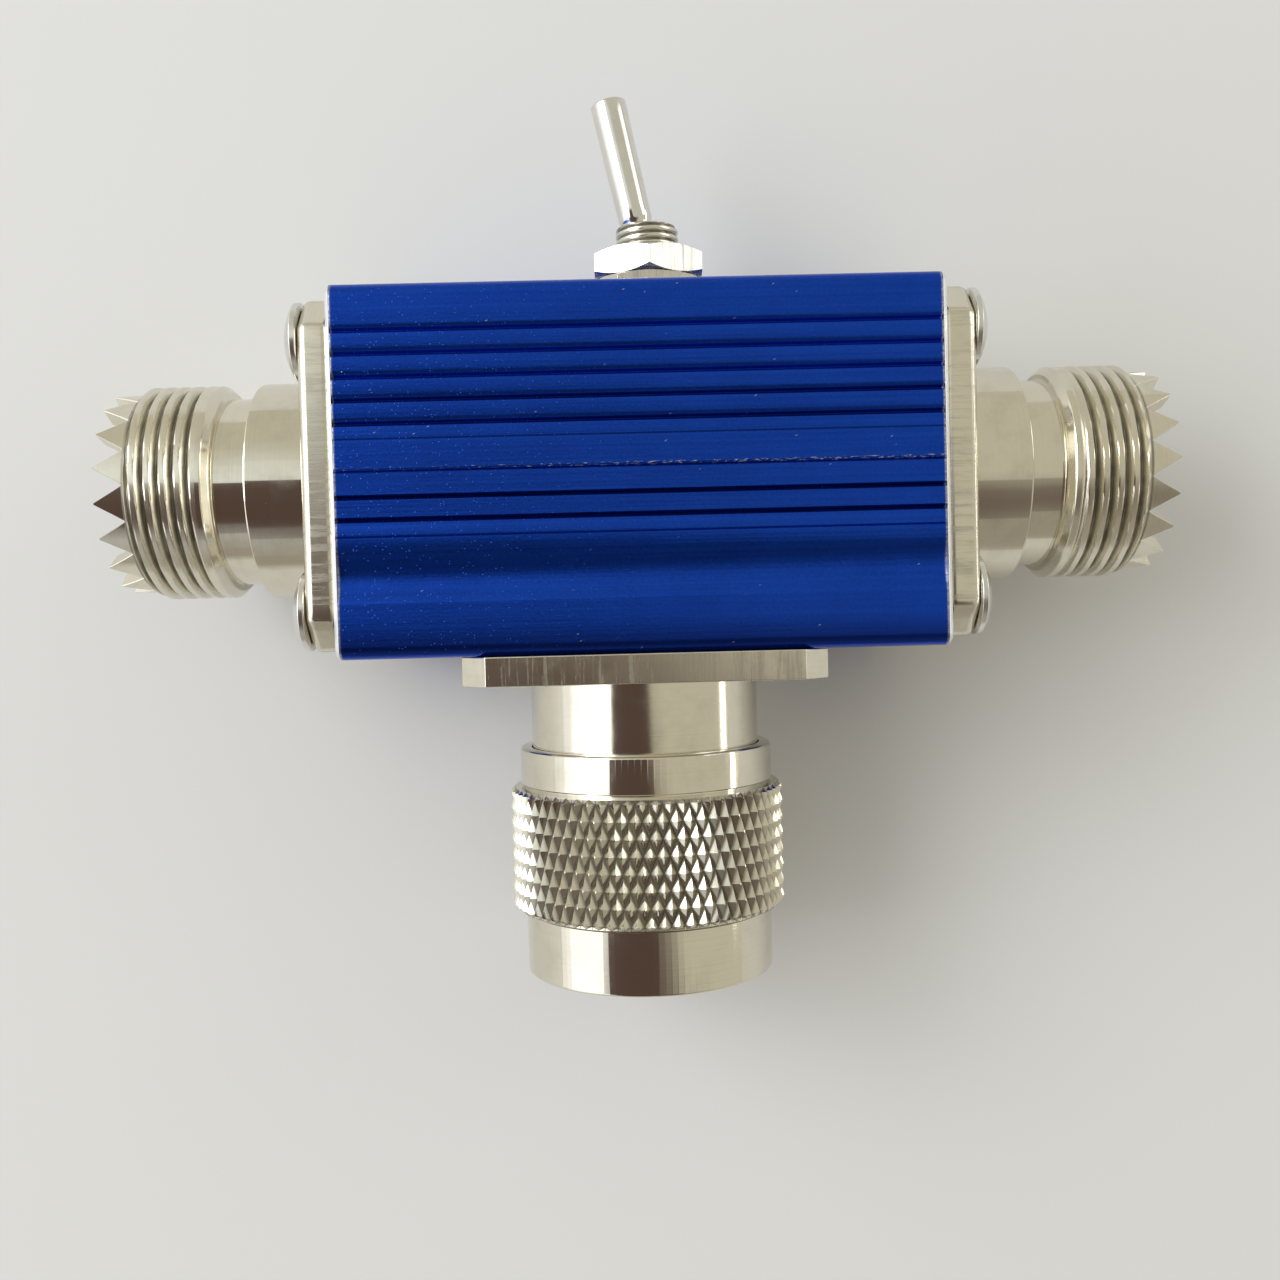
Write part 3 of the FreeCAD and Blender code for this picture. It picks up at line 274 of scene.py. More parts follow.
# %% [markdown]
# ## Plated metal off the lathe
# Receptacles, plug and coupling ring are turned from brass and nickel plated. A cutting tool leaves rings: their
# pattern depends only on the place along the axis and on the distance from it, so a noise of those two numbers gives
# fine lines around a cylinder and circles on a flat end. Square flanges are cut from drawn bar, with lines along
# the axis instead. Plating is bright on crests and dull where dirt stays, at the bottom of a thread or a knurl.


# %% Turned and plated metal
GRIME = (0.105, 0.090, 0.060)


def plated(
    name, base, axis, roughness, centre=(0.0, 0.0, AXIS_HEIGHT), line_depth=0.0022, bar=None, hexagon=None, dirt=None
):
    """axis is 0, 1 or 2. bar or hexagon: how far out drawn sides begin. dirt: clean and dirty radius, reach, wear."""
    finish = Finish(name, base, metallic=1.0, roughness=roughness)
    place = finish.millimetres()
    offsets = [place[i] - centre[i] for i in range(3)]
    axial = offsets[axis]
    side, up = [offsets[i] for i in range(3) if i != axis]
    radius = (side * side + up * up).math("SQRT")
    fine = finish.noise(1.0, finish.vector(axial * 9.0, radius * 9.0), detail=4.0, roughness=0.75)
    broad = finish.noise(1.0, finish.vector(axial * 1.1, radius * 1.1), detail=2.0)
    blur, streaks = 0.0, 0.16
    if bar or hexagon:
        drawn = finish.noise(1.0, finish.vector(side * 2.2, up * 2.2, axial * 0.12), detail=5.0, roughness=0.78)
        outside = radius.rise(hexagon, hexagon + 0.02) if hexagon else abs(side).most(abs(up)).rise(bar, bar + 0.05)
        fine = fine * (1 - outside) + drawn * outside
        blur, streaks = outside * (0.06 + 0.15 * drawn.rise(0.50, 0.64)), 0.16 + 0.64 * outside
    smudge = finish.noise(0.45, detail=3.0, roughness=0.6)
    pits = finish.specks(3.1, 0.09, 0.07)
    gloss = roughness + 0.06 * smudge.rise(0.45, 0.75) + 0.08 * (fine - 0.5) + 0.03 * broad + 0.25 * pits + blur
    dark = tuple(c * 0.66 for c in base)
    tone = 0.30 * smudge.rise(0.4, 0.8) + 0.5 * pits + fine.rise(0.42, 0.72) * streaks
    colour = finish.blend(tone.least(1.0), base, dark)
    if dirt:
        clean, dirty, reach, wear = dirt
        cut = abs(axial).rise(reach[0], reach[0] + 0.1) * abs(axial).rise(reach[1], reach[1] - 0.1)
        grime = radius.rise(clean, dirty) * cut * (0.65 + 0.35 * smudge.rise(0.35, 0.6))
        colour = finish.blend(grime * 0.70, colour, GRIME)
        gloss = gloss + grime * 0.16 + cut * wear
        finish.set(Metallic=1 - 0.25 * grime)
    finish.set(Base_Color=colour, Roughness=gloss.most(0.05))
    finish.bump(fine, line_depth)
    return finish.material


print("plated metal takes lathe lines, drawn sides, smudges, pits and dirt")

# %% Receptacle, plug and ring finishes
NICKEL = (0.76, 0.715, 0.595)
THREAD_DIRT = (7.72, 7.46, (31.0, 36.4), 0.10)
KNURL_DIRT = (10.10, 9.92, (22.7, 31.9), 0.0)
socket_nickel = plated("receptacle_nickel", NICKEL, axis=0, roughness=0.11, bar=11.7, dirt=THREAD_DIRT)
plug_nickel = plated("plug_nickel", NICKEL, axis=1, roughness=0.09, bar=12.2)
bare_aluminium = plated("bare_aluminium", (0.86, 0.87, 0.88), axis=0, roughness=0.34, line_depth=0.004)
ring_nickel = plated("ring_nickel", NICKEL, axis=1, roughness=0.09, dirt=KNURL_DIRT)
print("plated finishes:", socket_nickel.name, plug_nickel.name, ring_nickel.name)

# %% [markdown]
# ## The toggle, the screws and the small metal parts
# The toggle is plated to a mirror: its lever was polished before plating and shows hardly a mark. Screws are plated
# steel, a little greyer. Contacts are gold flashed, the pin and the solder tabs silver plated, which tarnishes
# towards brown. They all use the same recipe with other numbers.

# %% Toggle, screw, contact and wire finishes
TOGGLE_X = 1.1
TOGGLE_CENTRE = (TOGGLE_X, 15.9, AXIS_HEIGHT)
FINE_THREAD_DIRT = (2.28, 2.12, (13.0, 19.1), 0.05)
STEEL = (0.78, 0.77, 0.73)
lever_nickel = plated(
    "lever_nickel", (0.80, 0.775, 0.72), axis=1, centre=TOGGLE_CENTRE, roughness=0.09, line_depth=0.0012
)
nut_nickel = plated("nut_nickel", (0.76, 0.73, 0.665), axis=1, centre=TOGGLE_CENTRE, roughness=0.13, hexagon=3.9)
bushing_nickel = plated(
    "bushing_nickel",
    (0.74, 0.71, 0.62),
    axis=1,
    centre=(TOGGLE_X, 0.0, AXIS_HEIGHT),
    roughness=0.16,
    dirt=FINE_THREAD_DIRT,
)
screw_steel = plated("screw_steel", STEEL, axis=0, roughness=0.20, line_depth=0.002)
plug_screw_steel = plated("plug_screw_steel", STEEL, axis=1, roughness=0.20, line_depth=0.002)
gold_flash = plated("gold_flash", (0.83, 0.60, 0.24), axis=0, roughness=0.17)
silver_plate = plated("silver_plate", (0.86, 0.83, 0.76), axis=1, roughness=0.15)
spring_steel = plated("spring_steel", (0.52, 0.52, 0.53), axis=1, roughness=0.24)
tinned_copper = plated("tinned_copper", (0.76, 0.76, 0.77), axis=0, roughness=0.30)
print("small metal finishes made")

# %% [markdown]
# ## Plastics
# The insulators are turned from white PTFE: waxy, slightly see-through, with soft tool rings. The switch housing is
# moulded red phenolic with a faint mottle, and the plunger in the lever's tail is natural nylon. These let some
# light in, so they have a little subsurface scattering, and their marks are shallow.


# %% Plastic finishes
PTFE, SETTLED_DUST = (0.86, 0.855, 0.82), (0.25, 0.24, 0.22)


def plastic(name, base, roughness, scatter, mottle, rings=None):
    finish = Finish(name, base, roughness=roughness)
    finish.set(**{"Subsurface Weight": scatter, "Subsurface Scale": 0.0006, "Subsurface Radius": (1.0, 0.8, 0.6)})
    place = finish.millimetres()
    cloud = finish.noise(1.3, detail=4.0, roughness=0.6)
    grain = finish.noise(11.0, detail=2.0)
    dusty = finish.specks(2.6, 0.08, 0.12)
    worn = tuple(c * (1 - mottle) for c in base)
    colour = finish.blend(cloud.rise(0.35, 0.7), base, worn)
    colour = finish.blend(dusty * 0.4, colour, SETTLED_DUST)
    height = grain
    if rings is not None:
        side, up = [place[i] - (0.0, 0.0, AXIS_HEIGHT)[i] for i in range(3) if i != rings]
        radius = (side * side + up * up).math("SQRT")
        turned = finish.noise(1.0, finish.vector(radius * 7.0, place[rings] * 7.0), detail=3.0, roughness=0.7)
        height = turned + 0.3 * grain
    finish.set(Base_Color=colour, Roughness=roughness - 0.06 + 0.16 * grain)
    finish.bump(height, 0.006)
    return finish.material


socket_ptfe = plastic("socket_ptfe", PTFE, 0.42, 0.35, 0.05, rings=0)
plug_ptfe = plastic("plug_ptfe", PTFE, 0.42, 0.35, 0.05, rings=1)
red_phenolic = plastic("red_phenolic", (0.30, 0.030, 0.022), 0.34, 0.0, 0.30)
white_nylon = plastic("white_nylon", (0.80, 0.79, 0.72), 0.40, 0.4, 0.06)
print("plastic finishes made")

# %% [markdown]
# ## Shapes on a polar grid
# A turned piece is a profile swept around an axis. Instead of a Screw modifier, which can only repeat the profile, the
# rings of points are made one by one, because a thread changes its radius around the ring, a crown its height, and
# a flange its whole outline. All rings have the same number of points, so neighbouring rings join with plain quads,
# and the last one joins the first: the piece is a closed solid.


# %% Rings, grids and a frame for each direction
def axis_frame(turn, about, x=0.0):
    """From a piece's own frame, in millimetres with +Z along its axis, to the part's frame in metres."""
    standing = Matrix.Translation(Vector((x, 0, AXIS_HEIGHT)) * MM)
    return standing @ Matrix.Rotation(math.radians(turn), 4, about) @ Matrix.Scale(MM, 4)


TO_RIGHT = axis_frame(90, "Y")
TO_LEFT = axis_frame(-90, "Y")
TO_PLUG = axis_frame(90, "X")
TO_TOGGLE = axis_frame(-90, "X", x=TOGGLE_X)


def circle(angles, radius, height):
    """One ring. The radius and the height are numbers, or functions of the angle."""
    ring = []
    for angle in angles:
        r = radius(angle) if callable(radius) else radius
        h = height(angle) if callable(height) else height
        ring.append((r * math.cos(angle), r * math.sin(angle), h))
    return ring


print("four directions: right, left, plug and toggle")


# %% A solid from points and faces, and one from rings
def solid_object(name, points, faces, place, finish, sharp):
    mesh = bpy.data.meshes.new(name)
    mesh.from_pydata([place @ Vector(p) for p in points], [], faces)
    shape = bmesh.new()
    shape.from_mesh(mesh)
    bmesh.ops.recalc_face_normals(shape, faces=shape.faces)
    shape.to_mesh(mesh)
    shape.free()
    mesh.shade_smooth()
    mesh.set_sharp_from_angle(angle=math.radians(sharp))
    mesh.materials.append(finish)
    piece = bpy.data.objects.new(name, mesh)
    bpy.context.scene.collection.objects.link(piece)
    shading = piece.modifiers.new("face_shading", "WEIGHTED_NORMAL")
    shading.keep_sharp = True
    return piece


def swept(name, rings, place, finish, split=None, sharp=30):
    """A closed solid from rings. split(row, column) says which way a quad is halved, or None to leave it whole."""
    count = len(rings[0])
    faces = []
    for row in range(len(rings)):
        low, high = row * count, (row + 1) % len(rings) * count
        for column in range(count):
            after = (column + 1) % count
            a, b, c, d = low + column, low + after, high + after, high + column
            way = split(row, column) if split else None
            if way is None:
                faces.append((a, b, c, d))
            elif way:
                faces += [(a, b, d), (b, c, d)]
            else:
                faces += [(a, b, c), (a, c, d)]
    points = [p for ring in rings for p in ring]
    return solid_object(name, points, faces, place, finish, sharp)


print("helpers for turned shapes are ready")

# %% [markdown]
# ## Deburred ends
# The case is sawn to length, and a file takes the burr off the cut. That leaves a narrow chamfer of bare metal around
# each end, just outside the flange. It is a thin ring of its own here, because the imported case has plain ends: six
# outlines of a square with round corners, joined like any other rings.


# %% Bare chamfer at each end of the case
END_PROFILE = ((HALF_CASE, 20.36), (12.47, 20.41), (12.24, 20.63), (12.18, 20.66), (11.97, 20.66), (11.97, 20.36))
CORNER_CENTRE = 11.6


def rounded_square(half, height):
    soft, ring = max(half - CORNER_CENTRE, 0.2), []
    for quarter in range(4):
        middle = math.radians(90 * quarter + 45)
        for step in range(7):
            angle = math.radians(90 * quarter + 15 * step)
            x = (half - soft) * math.copysign(1, math.cos(middle)) + soft * math.cos(angle)
            y = (half - soft) * math.copysign(1, math.sin(middle)) + soft * math.sin(angle)
            ring.append((x, y, height))
    return ring


def deburred_end(name, place):
    piece = swept(name, [rounded_square(half, height) for half, height in END_PROFILE], place, bare_aluminium)
    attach(piece, "case")


deburred_end("case_left_end", TO_LEFT)
deburred_end("case_right_end", TO_RIGHT)
print("two bare ends,", END_PROFILE[0][0] * 2, "mm across")

# %% [markdown]
# ## A square flange on round columns
# The flange belongs to the same solid as the sleeve and the thread, so its square outline has to live on the same
# columns of points. At each corner two neighbouring columns move onto the corner's softened ends, and the columns
# between corners spread along the straight sides. Nothing else in the grid has to change.


# %% Flange outline
CORNER_SOFTNESS = 0.15


def flange_ring(angles, half, cut, height, inset=0.0, half_y=None):
    """A ring around a rectangle with cut corners, drawn in by the inset on every side."""
    half_y = half_y or half
    reach = (half + half_y - cut) / math.sqrt(2) - inset
    wide, tall = half - inset, half_y - inset
    cut = wide + tall - reach * math.sqrt(2)
    corners = []
    for sx, sy, first in ((1, 1, 0), (-1, 1, 1), (-1, -1, 0), (1, -1, 1)):
        pair = [Vector((sx * wide, sy * (tall - cut))), Vector((sx * (wide - cut), sy * tall))]
        corners += reversed(pair) if first else pair
    full = math.tau
    anchors = {}
    for index, corner in enumerate(corners):
        before, after = corners[index - 1], corners[(index + 1) % 8]
        soft = min(CORNER_SOFTNESS, (after - corner).length / 3)
        bearing = (math.atan2(corner.y, corner.x) - angles[0]) % full
        column = max(i for i, angle in enumerate(angles) if (angle - angles[0]) % full <= bearing)
        anchors[column] = corner + (before - corner).normalized() * soft
        anchors[(column + 1) % len(angles)] = corner + (after - corner).normalized() * soft
    fixed = sorted(anchors)
    ring = []
    for column, angle in enumerate(angles):
        low = max((f for f in fixed if f <= column), default=fixed[-1])
        high = min((f for f in fixed if f > column), default=fixed[0])
        span = (angles[high] - angles[low]) % full
        share = ((angle - angles[low]) % full) / span
        point = anchors[low].lerp(anchors[high], share)
        ring.append((point.x, point.y, height))
    return ring


def soft_rim(angles, half, cut, face, radius, outwards):
    """The rings that round one rim of a flange: outwards is 1 at the upper face and -1 at the lower one."""
    rings = []
    for step in range(7):
        turn = math.radians(15 * step)
        inset = radius * (1 - math.cos(turn))
        rings.append(flange_ring(angles, half, cut, face + outwards * radius * (math.sin(turn) - 1), inset))
    return rings[::outwards]


print("a flange corner takes two columns")

# %% [markdown]
# ## Threads
# A unified thread is a 60 degree ridge with a flattened crest and a rounded root, and it climbs one pitch in one
# turn. Plating fills the root a little and use widens the crest, so the groove is shallower than in the book. Along
# the axis it is a repeating wave, and around the axis the wave is shifted by the angle. So one function of height
# and angle gives the radius, and the chamfers at both ends simply cut it off. The end threads of this connector
# family are 15.875 mm across with 24 turns to the inch.

# %% Thread shape
INCH = 25.4
PITCH = INCH / 24
DEPTH = 0.54
CREST_SHARE, FLANK_SHARE = 0.38, 0.54


def soft_step(value, low, high):
    share = min(max((value - low) / (high - low), 0), 1)
    return share * share * (3 - 2 * share)


def thread_dip(height, angle, pitch, run_out=None):
    """0 on the crest of a right-hand thread, 1 in its root, and 0 again where the thread has run out."""
    phase = (height / pitch - angle / math.tau) % 1
    away = abs(phase - 0.5) * 2
    dip = min(max((away - CREST_SHARE) / FLANK_SHARE, 0), 1)
    dip = soft_step(dip, 0, 1) * 0.25 + dip * 0.75
    return dip * soft_step(height, *run_out) if run_out else dip


def thread_rings(angles, low, high, crest, depth, pitch, envelope, rows_per_turn=16, inward=False, run_out=None):
    """Rings of a thread. envelope(height) is the radius that the chamfered blank has there."""
    count = math.ceil((high - low) / pitch * rows_per_turn)
    rings = []
    for row in range(1, count):
        height = low + (high - low) * row / count

        def radius(angle, height=height):
            dip = depth * thread_dip(height, angle, pitch, run_out)
            return max(envelope(height), crest + dip) if inward else min(envelope(height), crest - dip)

        rings.append(circle(angles, radius, height))
    return rings


print("thread pitch", round(PITCH, 3), "mm, depth", DEPTH, "mm")

# %% [markdown]
# ## The receptacles
# Flange, sleeve, relief groove, thread and toothed crown are one turned piece. The crown has 18 pointed teeth that
# grip the mating plug. Each tooth gets eight columns: two on its tip, two at the bottom of the notches beside it,
# and four on its flanks. A notch is cut straight across the wall, so nearer the axis the tooth is both thinner and
# lower, and its height depends on the radius as well as on the angle.

# %% Crown
# Angles are in degrees, and everything else is in millimetres.
TEETH, TOOTH_STEP = 18, 20
TOOTH_OFFSETS = (-9.7, -6.6, -3.5, -0.4, 0.4, 3.5, 6.6, 9.7)
TIP_REACH = 9.6
CROWN_BASE, CROWN_HEIGHT = 36.25, 2.15
CROWN_RADIUS, CAVITY_RADIUS = 7.4, 6.15
NOTCH_FLOOR = 0.10


def tooth_height(radius, angle, first_tooth):
    """How high the crown stands at this place above its base."""
    half_step = TOOTH_STEP / 2
    offset = (math.degrees(angle) - first_tooth + half_step) % TOOTH_STEP - half_step
    here = radius * math.tan(math.radians(half_step - abs(offset)))
    at_tip = CROWN_RADIUS * math.tan(math.radians(TIP_REACH))
    return max(CROWN_HEIGHT * min(here / at_tip, 1), NOTCH_FLOOR)


print(TEETH, "teeth,", TEETH * len(TOOTH_OFFSETS), "columns")

# %% Receptacle shells
FLANGE_HALF, FLANGE_CUT, FLANGE_ROUND = 11.95, 2.1, 0.7
FLANGE_FOOT, FLANGE_TOP = CASE_END, 22.75
SPIGOT_RADIUS, CAVITY_FLOOR = 6.65, 22.05
THREAD_CREST, THREAD_START, RUN_OUT = 7.9375, 30.2, (31.15, 31.75)
# A profile is a row of pairs: a radius, and the height along the axis.
SLEEVE_AND_RELIEF = (
    (8.14, 22.75), (8.04, 22.79), (8.0, 22.90),
    (8.0, 27.52), (7.95, 27.64), (7.84, 27.70),
    (7.05, 27.70), (6.97, 27.73), (6.95, 27.82),
    (6.95, 30.08), (6.97, 30.17), (7.05, 30.20), (7.40, 30.20),
)


def thread_blank(height):
    """Radius of the chamfered blank that the thread is cut on."""
    return min(THREAD_CREST - 0.5 + (height - THREAD_START), THREAD_CREST, CROWN_RADIUS + (CROWN_BASE - height) * 1.075)


def receptacle_shell(name, first_tooth, place):
    angles = [math.radians(first_tooth + TOOTH_STEP * tooth + o) for tooth in range(TEETH) for o in TOOTH_OFFSETS]

    def crown(radius, drop):
        return circle(angles, radius, lambda a: CROWN_BASE + tooth_height(radius, a, first_tooth) - drop)

    rings = [circle(angles, SPIGOT_RADIUS, FLANGE_FOOT)]
    for face, outwards in ((FLANGE_FOOT, -1), (FLANGE_TOP, 1)):
        rings += soft_rim(angles, FLANGE_HALF, FLANGE_CUT, face, FLANGE_ROUND, outwards)
    rings += [circle(angles, radius, height) for radius, height in SLEEVE_AND_RELIEF]
    rings += thread_rings(angles, THREAD_START, CROWN_BASE, THREAD_CREST, DEPTH, PITCH, thread_blank, run_out=RUN_OUT)
    rings += [circle(angles, CROWN_RADIUS, CROWN_BASE), crown(CROWN_RADIUS, 0.08), crown(7.34, 0.0)]
    rings += [crown(6.21, 0.0), crown(CAVITY_RADIUS, 0.08), circle(angles, CAVITY_RADIUS, CROWN_BASE - 0.1)]
    rings += [circle(angles, CAVITY_RADIUS, CAVITY_FLOOR), circle(angles, SPIGOT_RADIUS, CAVITY_FLOOR)]
    piece = swept(name, rings, place, socket_nickel)
    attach(piece, "case")
    return piece


left_shell = receptacle_shell("left_receptacle", -9.7, TO_LEFT)
right_shell = receptacle_shell("right_receptacle", -1.5, TO_RIGHT)
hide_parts("left_socket_shell")
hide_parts("right_socket_shell")
print("receptacle shell:", len(left_shell.data.vertices), "points")

# %% [markdown]
# ## The coupling ring
# A diamond knurl is pressed by two wheels with crossing helical teeth. Their grooves meet in points, and small
# pyramids stand between them, in rows shifted by half a tooth. On a grid with a row and a column through every
# pyramid's point, each cell holds one groove on its diagonal, so the quads only have to be halved along it. Extra
# lines close to every point blunt it, as wear does. Inside, the ring has the thread that takes the receptacle.

# %% Knurl
KNURL_TEETH, KNURL_ROW, KNURL_FIRST = 66, 1.212, 23.02
KNURL_RADIUS, KNURL_CHAMFER, KNURL_RISE = 10.3, 9.95, 0.40
KNURL_LOW, KNURL_HIGH = 22.72, 31.80
STEPS = (0.0, 0.1, 0.9)
# Rows, with a line close to every point. The first and the last lie on the edges of the band.
KNURL_MARKS = [-0.245, *(row + step for row in range(7) for step in STEPS), 7.0, 7.1, 7.2406]


def pyramid(u, v):
    """Height share of the knurl; u counts half teeth around the ring, v counts rows along it."""
    to_groove = [0.5 - abs(t - round(t)) for t in ((u + v) / 2, (u - v) / 2)]
    return min(min(to_groove) / 0.45, 1)


def knurl_blank(height):
    """Radius that the ring's chamfered knurl band has at this height."""
    return min(KNURL_RADIUS, KNURL_CHAMFER + (height - KNURL_LOW), KNURL_CHAMFER + (KNURL_HIGH - height))


def knurl_ring(angles, v):
    """One ring of the knurl, v rows above the first."""
    height = KNURL_FIRST + KNURL_ROW * v
    low = knurl_blank(height)

    def radius(angle):
        u = angle * KNURL_TEETH / math.pi
        return min(low, KNURL_RADIUS - KNURL_RISE * (1 - pyramid(u, v)))

    return circle(angles, radius, height)


print("knurl:", KNURL_TEETH, "teeth around the ring")

# %% Coupling ring
COLLAR_PROFILE = (
    (8.65, 19.78), (8.68, 19.75), (9.25, 19.75), (9.40, 19.80), (9.47, 19.88), (9.5, 20.0),
    (9.5, 22.42), (9.47, 22.48), (9.40, 22.50), (9.22, 22.50), (9.22, 22.72),
)
SKIRT_PROFILE = (
    (9.22, 31.80), (9.22, 32.02), (9.24, 32.03), (9.3, 32.10),
    (9.3, 36.40), (9.27, 36.52), (9.18, 36.61), (9.05, 36.65), (8.52, 36.65),
)
INNER_CREST, INNER_DEPTH = 8.0, 0.55
INNER_START, RING_MOUTH = 30.1, 36.65
INNER_PROFILE = ((INNER_CREST, INNER_START), (9.15, INNER_START), (9.15, 23.2), (8.65, 23.2))


def inner_bore(height):
    """Radius of the bore before its thread is cut, with the chamfer at the mouth."""
    return INNER_CREST + max(height - (RING_MOUTH - 0.5), 0)


def coupling_ring():
    columns = [tooth + step for tooth in range(2 * KNURL_TEETH) for step in STEPS]
    angles = [math.radians(180.0 * u / KNURL_TEETH) for u in columns]
    rings = [circle(angles, radius, height) for radius, height in COLLAR_PROFILE]
    first_row = len(rings)
    rings += [knurl_ring(angles, v) for v in KNURL_MARKS]
    last_row = len(rings)
    rings += [circle(angles, radius, height) for radius, height in SKIRT_PROFILE]
    inner = thread_rings(
        angles, INNER_START, RING_MOUTH, INNER_CREST, INNER_DEPTH, PITCH, inner_bore, rows_per_turn=8, inward=True
    )
    rings += reversed(inner)
    rings += [circle(angles, radius, height) for radius, height in INNER_PROFILE]

    def split(row, column):
        if not first_row <= row < last_row - 1:
            return None
        u, v = columns[column], KNURL_MARKS[row - first_row]
        return (math.floor(u) + math.floor(v)) % 2 == 0

    return swept("coupling_ring", rings, TO_PLUG, ring_nickel, split, sharp=24)


ring = coupling_ring()
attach(ring, "coupling_ring")
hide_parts("plug_coupling_ring")
print("coupling ring:", len(ring.data.polygons), "faces")

# %% [markdown]
# ## Screws
# Pan head screws hold the receptacles, countersunk ones the plug. Both have a cross recess that narrows downwards.
# A recess is the one place here where cutting one solid out of another is simpler than laying out points, so a
# tapered cross is subtracted with a Boolean modifier, once for each kind, and the result is copied to the four
# corners with every screw stopped at its own angle.


# %% Turned blank
SEGMENTS = 40


def finished_mesh(name, shape):
    """A mesh made from a bmesh, which is freed."""
    mesh = bpy.data.meshes.new(name)
    shape.to_mesh(mesh)
    shape.free()
    return mesh


def lathe_blank(name, profile):
    """A turned solid that closes on its axis at both ends."""
    shape = bmesh.new()
    angles = [math.tau * s / SEGMENTS for s in range(SEGMENTS)]
    rings = [[shape.verts.new(p) for p in circle(angles, r, h)] for r, h in profile[1:-1]]
    low, high = shape.verts.new((0, 0, profile[0][1])), shape.verts.new((0, 0, profile[-1][1]))
    for s in range(SEGMENTS):
        after = (s + 1) % SEGMENTS
        shape.faces.new((low, rings[0][after], rings[0][s]))
        shape.faces.new((high, rings[-1][s], rings[-1][after]))
        for below, above in zip(rings, rings[1:]):
            shape.faces.new((below[s], below[after], above[after], above[s]))
    return finished_mesh(name, shape)


print("screw blanks have", SEGMENTS, "sides")


# %% Cross recess
CROSS_REACH, CROSS_HALF = 1.42, 0.36


def cross_cutter(name, top, depth):
    """A cross that is widest just above the head and tapers to the bottom of the recess."""
    shape = bmesh.new()
    loops = []
    for height, grow_reach, grow_half in ((top - depth, 0.38, 0.62), (top + 0.3, 1.0, 1.0)):
        a, b = CROSS_REACH * grow_reach, CROSS_HALF * grow_half
        quarter = [(a, -b), (a, b), (b, b)]
        loop = []
        for turn in range(4):
            c, s = (1, 0, -1, 0)[turn], (0, 1, 0, -1)[turn]
            loop += [shape.verts.new((x * c - y * s, x * s + y * c, height)) for x, y in quarter]
        loops.append(loop)
    shape.faces.new(reversed(loops[0]))
    shape.faces.new(loops[1])
    for i in range(12):
        k = (i + 1) % 12
        shape.faces.new((loops[0][i], loops[0][k], loops[1][k], loops[1][i]))
    return finished_mesh(name, shape)


def recessed(blank_mesh, cutter_mesh):
    """The blank with the cutter taken out of it, as a new mesh."""
    blank = bpy.data.objects.new("blank", blank_mesh)
    cutter = bpy.data.objects.new("cutter", cutter_mesh)
    for thing in (blank, cutter):
        bpy.context.scene.collection.objects.link(thing)
    cut = blank.modifiers.new("recess", "BOOLEAN")
    cut.operation, cut.object, cut.solver = "DIFFERENCE", cutter, "EXACT"
    bpy.context.view_layer.update()
    mesh = bpy.data.meshes.new_from_object(blank.evaluated_get(bpy.context.evaluated_depsgraph_get()))
    bpy.data.objects.remove(blank)
    bpy.data.objects.remove(cutter)
    return mesh


print("cross recess:", CROSS_REACH * 2, "mm across at the top")


# %% Four screws, one at each corner
SCREW_PLACE = 9.15
SCREW_EDGE_WIDTH = 0.04 * MM
SCREW_EDGE_ANGLE = math.radians(32)


def four_screws(name, screw_mesh, place, turns, finish):
    shape = bmesh.new()
    for (x, y), turn in zip(((1, 1), (-1, 1), (-1, -1), (1, -1)), turns):
        copy = screw_mesh.copy()
        corner = Matrix.Translation((SCREW_PLACE * x, SCREW_PLACE * y, 0))
        copy.transform(corner @ Matrix.Rotation(math.radians(turn), 4, "Z"))
        shape.from_mesh(copy)
        bpy.data.meshes.remove(copy)
    mesh = finished_mesh(name, shape)
    mesh.transform(place)
    mesh.shade_smooth()
    mesh.set_sharp_from_angle(angle=SCREW_EDGE_ANGLE)
    mesh.materials.clear()
    mesh.materials.append(finish)
    piece = bpy.data.objects.new(name, mesh)
    bpy.context.scene.collection.objects.link(piece)
    soften = piece.modifiers.new("soft_edges", "BEVEL")
    soften.width, soften.segments, soften.limit_method = SCREW_EDGE_WIDTH, 2, "ANGLE"
    soften.angle_limit = SCREW_EDGE_ANGLE
    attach(piece, "case")
    return piece


print("screws stand", SCREW_PLACE * 2, "mm apart")

# %% Pan head and countersunk screws
HEAD_RADIUS, HEAD_RIM, DOME_RISE = 2.75, 23.2, 0.80
PAN_TOP, SUNK_TOP = 24.0, 14.55
DOME_STEPS = ((0.02, 0.04), (0.14, 0.02), (0.3, 0), (0.46, 0), (0.6, 0), (0.72, 0))  # height, and a little less wide


def domed(height):
    """Pan head: radius at a height above the straight rim, from the dome's arc."""
    sphere = (HEAD_RADIUS * HEAD_RADIUS + DOME_RISE * DOME_RISE) / (2 * DOME_RISE)
    return math.sqrt(max(sphere**2 - (sphere - DOME_RISE + height) ** 2, 0))


pan_profile = [(0, 14.75), (1.0, 14.75), (1.5, 15.25), (1.5, 22.75), (2.62, 22.75)]
pan_profile += [(HEAD_RADIUS, 22.83), (HEAD_RADIUS, 23.16)]
pan_profile += [(domed(height) - less, HEAD_RIM + height) for height, less in DOME_STEPS]
pan_profile += [(0.5, HEAD_RIM + 0.787), (0, PAN_TOP)]
pan_screw = recessed(lathe_blank("pan_blank", pan_profile), cross_cutter("pan_cross", PAN_TOP, 1.15))
left_screws = four_screws("left_pan_screws", pan_screw, TO_LEFT, (12, 71, 38, 55), screw_steel)
right_screws = four_screws("right_pan_screws", pan_screw, TO_RIGHT, (64, 21, 83, 7), screw_steel)
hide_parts("left_socket_screws")
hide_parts("right_socket_screws")

